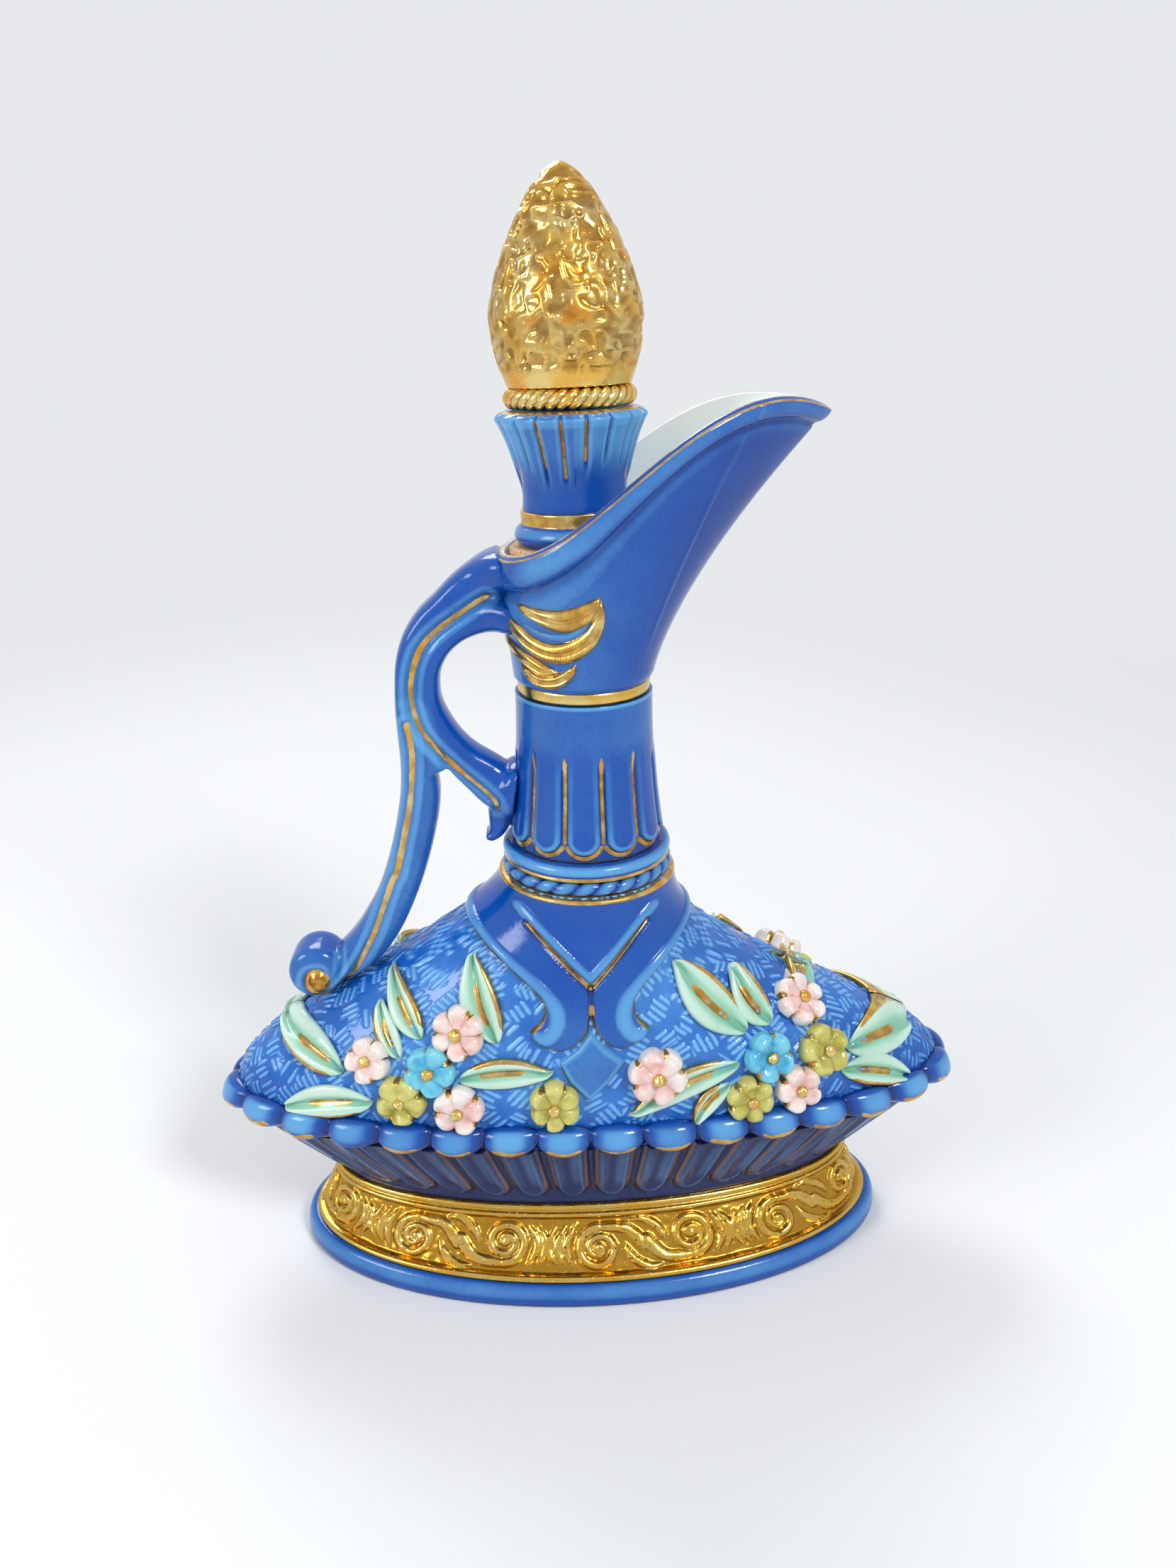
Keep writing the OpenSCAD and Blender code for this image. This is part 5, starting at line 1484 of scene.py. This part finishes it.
def make_cork():
    """The cork, with a chipped upper edge."""
    sizes = settings().stopper
    start, tall, foot = mm(sizes.cork_low), mm(sizes.cork_length), mm(sizes.cork_foot)
    taper = 0.08
    wide = foot + taper * tall
    edge = [(0.0, start), (foot - 1.4, start), (foot - 0.5, start + 0.3), (foot, start + 1.0)]
    wall = [(foot + taper * h, start + h) for h in np.linspace(2, tall - 1.5, 40)]
    crown = [(wide - 0.15, start + tall - 0.5), (wide - 0.8, start + tall - 0.05), (wide - 3, start + tall),
             (0.0, start + tall)]
    grid = lathe(edge + wall + crown, turns_around(260))
    worn = np.clip(grain(grid, 4.5, 5), 0, 1) * ease((grid[..., 2] - start - tall + 7) / 5)
    centre = np.array([0.0, 0.0, start + tall / 2])
    chips = (2.4 * worn + 0.12 * grain(grid, 0.9, 6))[..., None]
    far = ease((np.hypot(grid[..., 0], grid[..., 1]) - 6) / 6)[..., None]
    form = Form().add(leaned(grid - unit(grid - centre) * chips * far))
    form.piece("worn_cork", "cork", ["cork"], "cork", STOPPER)


def make_stopper_ring():
    """The stopper's blue foot roll with its gold band."""
    edge = curve([(7, ROLL_LOW + 0.1), (13, ROLL_LOW), (15.6, ROLL_LOW + 0.1), (17.2, ROLL_LOW + 1.1),
                  (18.0, ROLL_LOW + 3.0), (17.4, ROLL_LOW + 4.9), (16.2, ROLL_LOW + 6.0),
                  (15.9, ROLL_LOW + 6.9), (15.9, COLLAR_LOW - 0.4), (15.4, COLLAR_LOW)], 60)
    rows = np.vstack([edge, [(7, COLLAR_LOW), (6.1, COLLAR_LOW - 1), (6.1, ROLL_LOW + 1)]])
    out, h = rows[:, :1], rows[:, 1:] - ROLL_LOW
    # Pale band on the upper part of the roll (painted highlight), darker along its bottom (painted shade).
    form = Form().add(leaned(lathe(rows, turns_around(220))), along=True,
                      gilt=np.where(out > 12, h - 6.3, -2.0), milk=0.6 * ridge(h - 4.4, 1.4),
                      pool=0.5 * ridge(h - 0.8, 1.4))
    form.piece("stopper_roll", "cobalt", ["stopper_foot_ring"], "cobalt_glaze", STOPPER)


def make_collar():
    """The fluted, flared collar with streaks of gold in some grooves."""
    count, per = settings().stopper.collar_grooves, 26
    turn = turns_around(count * per)
    _, phase = columns(count, per)
    number = np.round(np.arange(len(turn)) / per).astype(int) % count
    own, drop = scattered(number, 11), 6.0 + 12.0 * scattered(number, 29)
    edge = curve([(15.6, 0.0), (15.3, 3.9), (15.7, 8.5), (17.1, 13.8), (19.0, 19.6), (20.6, 23.3),
                  (21.5, 25.0), (21.4, 25.8), (20.2, 26.8), (18.6, COLLAR_H)], 90)
    r, h = edge[:, :1], edge[:, 1:]
    groove_x = np.abs(from_groove(phase)) * TAU * r / count
    fade = ease((h - 3.0 - 9.0 * own) / 6.0) * ease((27.3 - h) / 1.2)
    depth = (1.15 + 0.5 * ridge(h - 24.6, 3.0)) * np.exp(-(groove_x / 0.62) ** 2) * fade
    wall = r - depth + 0.45 * np.sin(math.pi * phase) * fade - 0.3
    grid = oval_rows(wall, wall, COLLAR_LOW + h, turn)
    inner = lathe([(13.2, ROPE_LOW), (6.2, COLLAR_LOW + 10.0), (6.2, COLLAR_LOW + 0.4),
                   (8.0, COLLAR_LOW)], turn)
    gold = (0.45 - groove_x - 1.5 * ease((25.6 - drop - h) / 1.5) - 1.2 * ease((h - 25.2) / 0.8)
            - 3.0 * (own > 0.72))
    gold = np.maximum(gold, 0.35 - np.abs(h - 27.3))
    # Pale beside the grooves and along the flare's rim (painted highlight), paler upwards; darker in the
    # grooves and at the bottom (painted shade).
    milk = (0.3 * ridge(groove_x - 1.1, 0.7) * fade + 0.45 * ridge(h - 24.6, 1.3)
            + 0.5 * ease((h - 6) / 14) * (0.5 + own))
    pool = 0.6 * np.exp(-(groove_x / 0.55) ** 2) * fade + 0.4 * ease((3 - h) / 3)
    pad = partial(padded, shape=groove_x.shape, after=len(inner))
    form = Form().add(leaned(np.concatenate([grid, inner])), along=True, gilt=pad(gold, fill=-3.0),
                      milk=pad(milk), pool=pad(pool))
    form.piece("fluted_collar", "cobalt", ["stopper_collar"], "sky_glaze", STOPPER)


def make_stopper_rope():
    """The gold roped ring under the egg."""
    grid, crown = rope_rows(13.15, 2.85, ROPE_LOW + 3.0, 34, 3.2, 14)
    # Painted shade: darker brown gold between the strands.
    form = Form().add(leaned(grid), along=True, pool=0.95 - 1.1 * crown)
    form.piece("gold_rope", "gold", ["stopper_rope_ring"], "gold_lustre", STOPPER)


def egg_curls():
    """Small curls scattered over the egg, as paths on a cylinder of radius 20 mm."""
    swing = np.linspace(0, 1.5 * math.pi, 9)
    for row, level in enumerate(np.arange(8.0, 50.0, 11.0)):
        for k in range(5):
            own = scatter(np.array([k, row]))
            along = 8 * math.pi * (k + 0.5 * (row % 2) + 0.4 * own)
            up = level + 4.0 * (scatter(np.array([row, k])) - 0.5)
            reach = 3.6 - 0.55 * swing + own
            yield np.stack([along + reach * np.cos(swing + 6 * own), up + reach * np.sin(swing + 6 * own),
                            1.0 - 0.1 * swing], -1)


def chasing(grid, turn, z):
    """Chased pattern of the egg, 0 to 1: small curls among worm-like, hammered lumps."""
    flat = np.stack(np.broadcast_arrays(turn * 20.0, z), -1)
    bent = grid + 1.8 * np.stack([grain(grid, 4.5, seed) for seed in (7, 8, 9)], -1)
    worms = ease((0.36 - np.abs(grain(bent, 3.4, 1))) / 0.34)
    lumps = ease((grain(bent, 2.4, 2) + 0.1) / 0.6)
    relief = np.maximum(0.85 * worms, 0.6 * lumps)
    for curl in egg_curls():
        for shift in (-40 * math.pi, 0.0):
            relief = np.maximum(relief, swell(flat, curl + [shift, 0, 0], 16))
    return relief


def make_egg():
    """The gold egg: a chased, hammered skin drawn to a blunt nib."""
    sizes = settings().stopper
    radius, tall = mm(sizes.egg_radius), mm(sizes.egg_height)
    wide_at, foot_r = 18.6, 17.4
    t = np.linspace(0, 1, 70)
    low_part = np.stack([radius - (radius - foot_r) * (1 - t) ** 2, wide_at * t], -1)
    high_part = np.stack([radius * np.clip(1 - t**1.35, 0, 1) ** 0.65, wide_at + (tall - wide_at) * t], -1)
    skin = np.vstack([low_part, high_part[1:-1]])
    arc = run_along(skin)
    even = np.linspace(0, arc[-1], 190)
    profile = np.stack([np.interp(even, arc, skin[:, 0]), np.interp(even, arc, skin[:, 1])], -1)
    z = profile[:, 1:]
    turn = turns_around(420)
    grid = lathe(profile, turn)
    relief = chasing(grid, turn, z)
    chased = ease((z - 3.0) / 2.5) * ease((tall - 0.6 - z) / 1.6)
    hammer = 0.14 * grain(grid, 2.0, 3)
    lift = mm(sizes.egg_relief) * (relief + hammer - 0.6) * chased
    grid = grid + outward(grid) * lift[..., None]
    spigot = lathe([(0.0, -5.9), (13.0, -5.9), (13.0, 0.0)], turn)
    tip = lathe([(1.0, tall - 0.35), (0.0, tall)], turn)
    pad = partial(padded, shape=relief.shape, before=len(spigot), after=len(tip))
    # Darker brown gold low in the chasing and in the hammer dents (painted shade); the raised chasing
    # carries the pits.
    form = Form().add(leaned(np.concatenate([spigot, grid, tip]) + [0, 0, EGG_LOW]),
                      pool=pad((0.5 - relief * 0.45 - hammer) * chased + 0.12),
                      milk=pad(relief * chased * 0.5))
    form.piece("gold_egg", "chased_gold", ["egg_finial"], "gold_lustre", STOPPER)


def finish_tang():
    """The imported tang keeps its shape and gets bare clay."""
    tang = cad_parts["stopper_tang"]
    tang.data.materials.clear()
    tang.data.materials.append(finish("bisque"))


# Stage. The camera stands where the photo's did; lamps have a place, size and power.

CAMERA_PLACE = (-14.28, -345.31, 301.0)
CAMERA_DOWN = math.radians(21.5)
CAMERA_SIDE = math.radians(2.5)
CAMERA_ROLL = math.radians(-1.0)
FOCAL_PIXELS, FRAME_WIDE = 1661.0, 1659.0
SENSOR = 36.0
WORLD_LIGHT = 0.45
LAMPS = [("key", (0.65, -0.85, 1.1), 0.35, 11.5), ("fill", (-1.0, -0.6, 0.7), 0.5, 6.5),
         ("back", (-0.3, 0.95, 1.1), 0.6, 8.0)]
LAMP_AIM = Vector((0, 0, 0.15))


def make_camera():
    """The camera, placed as the photo's was."""
    data = bpy.data.cameras.new("photo_camera")
    data.sensor_fit, data.sensor_width = "HORIZONTAL", SENSOR
    data.lens = SENSOR * FOCAL_PIXELS / FRAME_WIDE
    data.clip_start, data.clip_end = 0.01, 100.0
    made = put_on_scene("photo_camera", data)
    right = Vector((math.cos(CAMERA_SIDE), -math.sin(CAMERA_SIDE), 0))
    ahead = Vector((math.sin(CAMERA_SIDE) * math.cos(CAMERA_DOWN),
                    math.cos(CAMERA_SIDE) * math.cos(CAMERA_DOWN), -math.sin(CAMERA_DOWN)))
    up = right.cross(ahead)
    tilt = Matrix.Rotation(CAMERA_ROLL, 3, -ahead)
    axes = Matrix((tilt @ right, tilt @ up, -ahead)).transposed().to_4x4()
    made.matrix_world = Matrix.Translation(Vector(CAMERA_PLACE) * MM) @ axes
    bpy.context.scene.camera = made


def make_floor():
    """A pale round floor that runs into the background with distance."""
    tint = (*settings().colours.backdrop, 1.0)
    sheet = Sheet(bpy.data.materials.new("pale_floor"))
    far = sheet.node("ShaderNodeVectorMath", {"operation": "LENGTH"}, {0: sheet.place()}, out="Value")
    matt = sheet.node("ShaderNodeBsdfDiffuse", {}, {"Color": tint})
    glow = sheet.node("ShaderNodeEmission", {}, {"Color": tint, "Strength": 1.0})
    sheet.finished(sheet.mixed(sheet.step(far, 0.35, 1.1) * sheet.seen(), matt, glow))
    rings = np.concatenate([[0.0], np.geomspace(100, 6000, 24)])[::-1, None]
    floor = put_on_scene("floor", Form().add(oval_rows(rings, rings, 0.0, turns_around(96))).mesh("floor"))
    floor.data.materials.append(sheet.owner)


def make_world():
    """Soft light from all round, and the pale background for what the camera sees."""
    tint = (*settings().colours.backdrop, 1.0)
    sheet = Sheet(bpy.data.worlds.new("soft_light"))
    light = sheet.node("ShaderNodeBackground", {}, {"Color": (1.0, 1.0, 1.0, 1.0), "Strength": WORLD_LIGHT})
    view = sheet.node("ShaderNodeBackground", {}, {"Color": tint, "Strength": 1.0})
    bpy.context.scene.world = sheet.finished(sheet.mixed(sheet.seen(), light, view), "ShaderNodeOutputWorld")


def make_lamps():
    """Three soft boxes: key at the right, fill at the left, one behind and above."""
    for name, place, size, watts in LAMPS:
        data = bpy.data.lights.new(name, "AREA")
        data.shape, data.size, data.energy = "SQUARE", size, watts
        lamp = put_on_scene(name, data)
        lamp.location = place
        lamp.rotation_euler = (LAMP_AIM - Vector(place)).to_track_quat("-Z", "Y").to_euler()


# Operators: one for each piece or group of like pieces.

class BOTTLE_OT_stage(bpy.types.Operator):
    """Set up the camera, the pale floor and the soft lamps"""

    bl_idname = "bottle.stage"
    bl_label = "Stage"

    def execute(self, context):
        context.scene.view_settings.view_transform = "Standard"
        make_camera()
        make_floor()
        make_world()
        make_lamps()
        return {"FINISHED"}


class BOTTLE_OT_foot_moulding(bpy.types.Operator):
    """Make the blue oval moulding that the bottle stands on"""

    bl_idname = "bottle.foot_moulding"
    bl_label = "Foot moulding"

    def execute(self, context):
        make_foot_moulding()
        return {"FINISHED"}


class BOTTLE_OT_foot_wall(bpy.types.Operator):
    """Make the gold wall of the foot with its foliage scrolls"""

    bl_idname = "bottle.foot_wall"
    bl_label = "Foot wall"

    def execute(self, context):
        make_foot_wall()
        return {"FINISHED"}


class BOTTLE_OT_bowl(bpy.types.Operator):
    """Make the bowl with its tongues and darts"""

    bl_idname = "bottle.bowl"
    bl_label = "Bowl"

    def execute(self, context):
        make_bowl()
        return {"FINISHED"}


class BOTTLE_OT_ruffle(bpy.types.Operator):
    """Make the ruffled rim round the widest part"""

    bl_idname = "bottle.ruffle"
    bl_label = "Ruffle"

    def execute(self, context):
        make_ruffle()
        return {"FINISHED"}


class BOTTLE_OT_shoulder(bpy.types.Operator):
    """Make the hatched shoulder"""

    bl_idname = "bottle.shoulder"
    bl_label = "Shoulder"

    def execute(self, context):
        make_shoulder()
        return {"FINISHED"}


class BOTTLE_OT_cape(bpy.types.Operator):
    """Make the cape, its straps and the lozenges below them"""

    bl_idname = "bottle.cape"
    bl_label = "Cape and lozenges"

    def execute(self, context):
        make_cape()
        make_pendants()
        return {"FINISHED"}


class BOTTLE_OT_leaves(bpy.types.Operator):
    """Make the mint leaves, front and back"""

    bl_idname = "bottle.leaves"
    bl_label = "Leaves"

    def execute(self, context):
        make_leaves()
        return {"FINISHED"}


class BOTTLE_OT_blossoms(bpy.types.Operator):
    """Make the pink, yellow and turquoise blossoms and their gold hearts"""

    bl_idname = "bottle.blossoms"
    bl_label = "Blossoms"

    def execute(self, context):
        make_blossoms()
        make_beads()
        return {"FINISHED"}


class BOTTLE_OT_neck(bpy.types.Operator):
    """Make the rope ring, the roll, the fluted neck and the gold band"""

    bl_idname = "bottle.neck"
    bl_label = "Neck"

    def execute(self, context):
        make_rope_ring()
        make_neck_roll()
        make_neck()
        make_neck_band()
        return {"FINISHED"}


class BOTTLE_OT_head(bpy.types.Operator):
    """Make the spouted head and its gold acanthus"""

    bl_idname = "bottle.head"
    bl_label = "Head and spout"

    def execute(self, context):
        make_head()
        make_acanthus()
        return {"FINISHED"}


class BOTTLE_OT_handle(bpy.types.Operator):
    """Make the scrolled handle"""

    bl_idname = "bottle.handle"
    bl_label = "Handle"

    def execute(self, context):
        make_handle()
        return {"FINISHED"}


class BOTTLE_OT_stopper(bpy.types.Operator):
    """Make the cork, roll, collar, rope and egg of the stopper"""

    bl_idname = "bottle.stopper"
    bl_label = "Stopper"

    def execute(self, context):
        make_cork()
        make_stopper_ring()
        make_collar()
        make_stopper_rope()
        make_egg()
        finish_tang()
        return {"FINISHED"}


OPERATORS = (BOTTLE_OT_stage, BOTTLE_OT_foot_moulding, BOTTLE_OT_foot_wall, BOTTLE_OT_bowl, BOTTLE_OT_ruffle,
             BOTTLE_OT_shoulder, BOTTLE_OT_cape, BOTTLE_OT_leaves, BOTTLE_OT_blossoms, BOTTLE_OT_neck,
             BOTTLE_OT_head, BOTTLE_OT_handle, BOTTLE_OT_stopper)


class BOTTLE_PT_pieces(bpy.types.Panel):
    """Lists the bottle's operators, sizes and colours"""

    bl_label = "Genie bottle"
    bl_space_type = "VIEW_3D"
    bl_region_type = "UI"
    bl_category = "Bottle"

    def draw(self, context):
        for operator in OPERATORS:
            self.layout.operator(operator.bl_idname)
        for group in (settings().body, settings().neck, settings().stopper, settings().colours):
            box = self.layout.box()
            for name in group.__annotations__:
                box.prop(group, name)


CLASSES = (BottleBodySizes, BottleNeckSizes, BottleStopperSizes, BottleColours, BottleSettings,
           *OPERATORS, BOTTLE_PT_pieces)


def register():
    """Registers the add-on's classes and puts its settings on the scene."""
    for cls in CLASSES:
        bpy.utils.register_class(cls)
    bpy.types.Scene.genie_bottle = PointerProperty(type=BottleSettings)


def unregister():
    """Takes the settings and classes away again."""
    del bpy.types.Scene.genie_bottle
    for cls in reversed(CLASSES):
        bpy.utils.unregister_class(cls)


def main():
    """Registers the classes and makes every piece."""
    register()
    for operator in OPERATORS:
        group, name = operator.bl_idname.split(".")
        getattr(getattr(bpy.ops, group), name)()


if __name__ == "__main__":
    main()
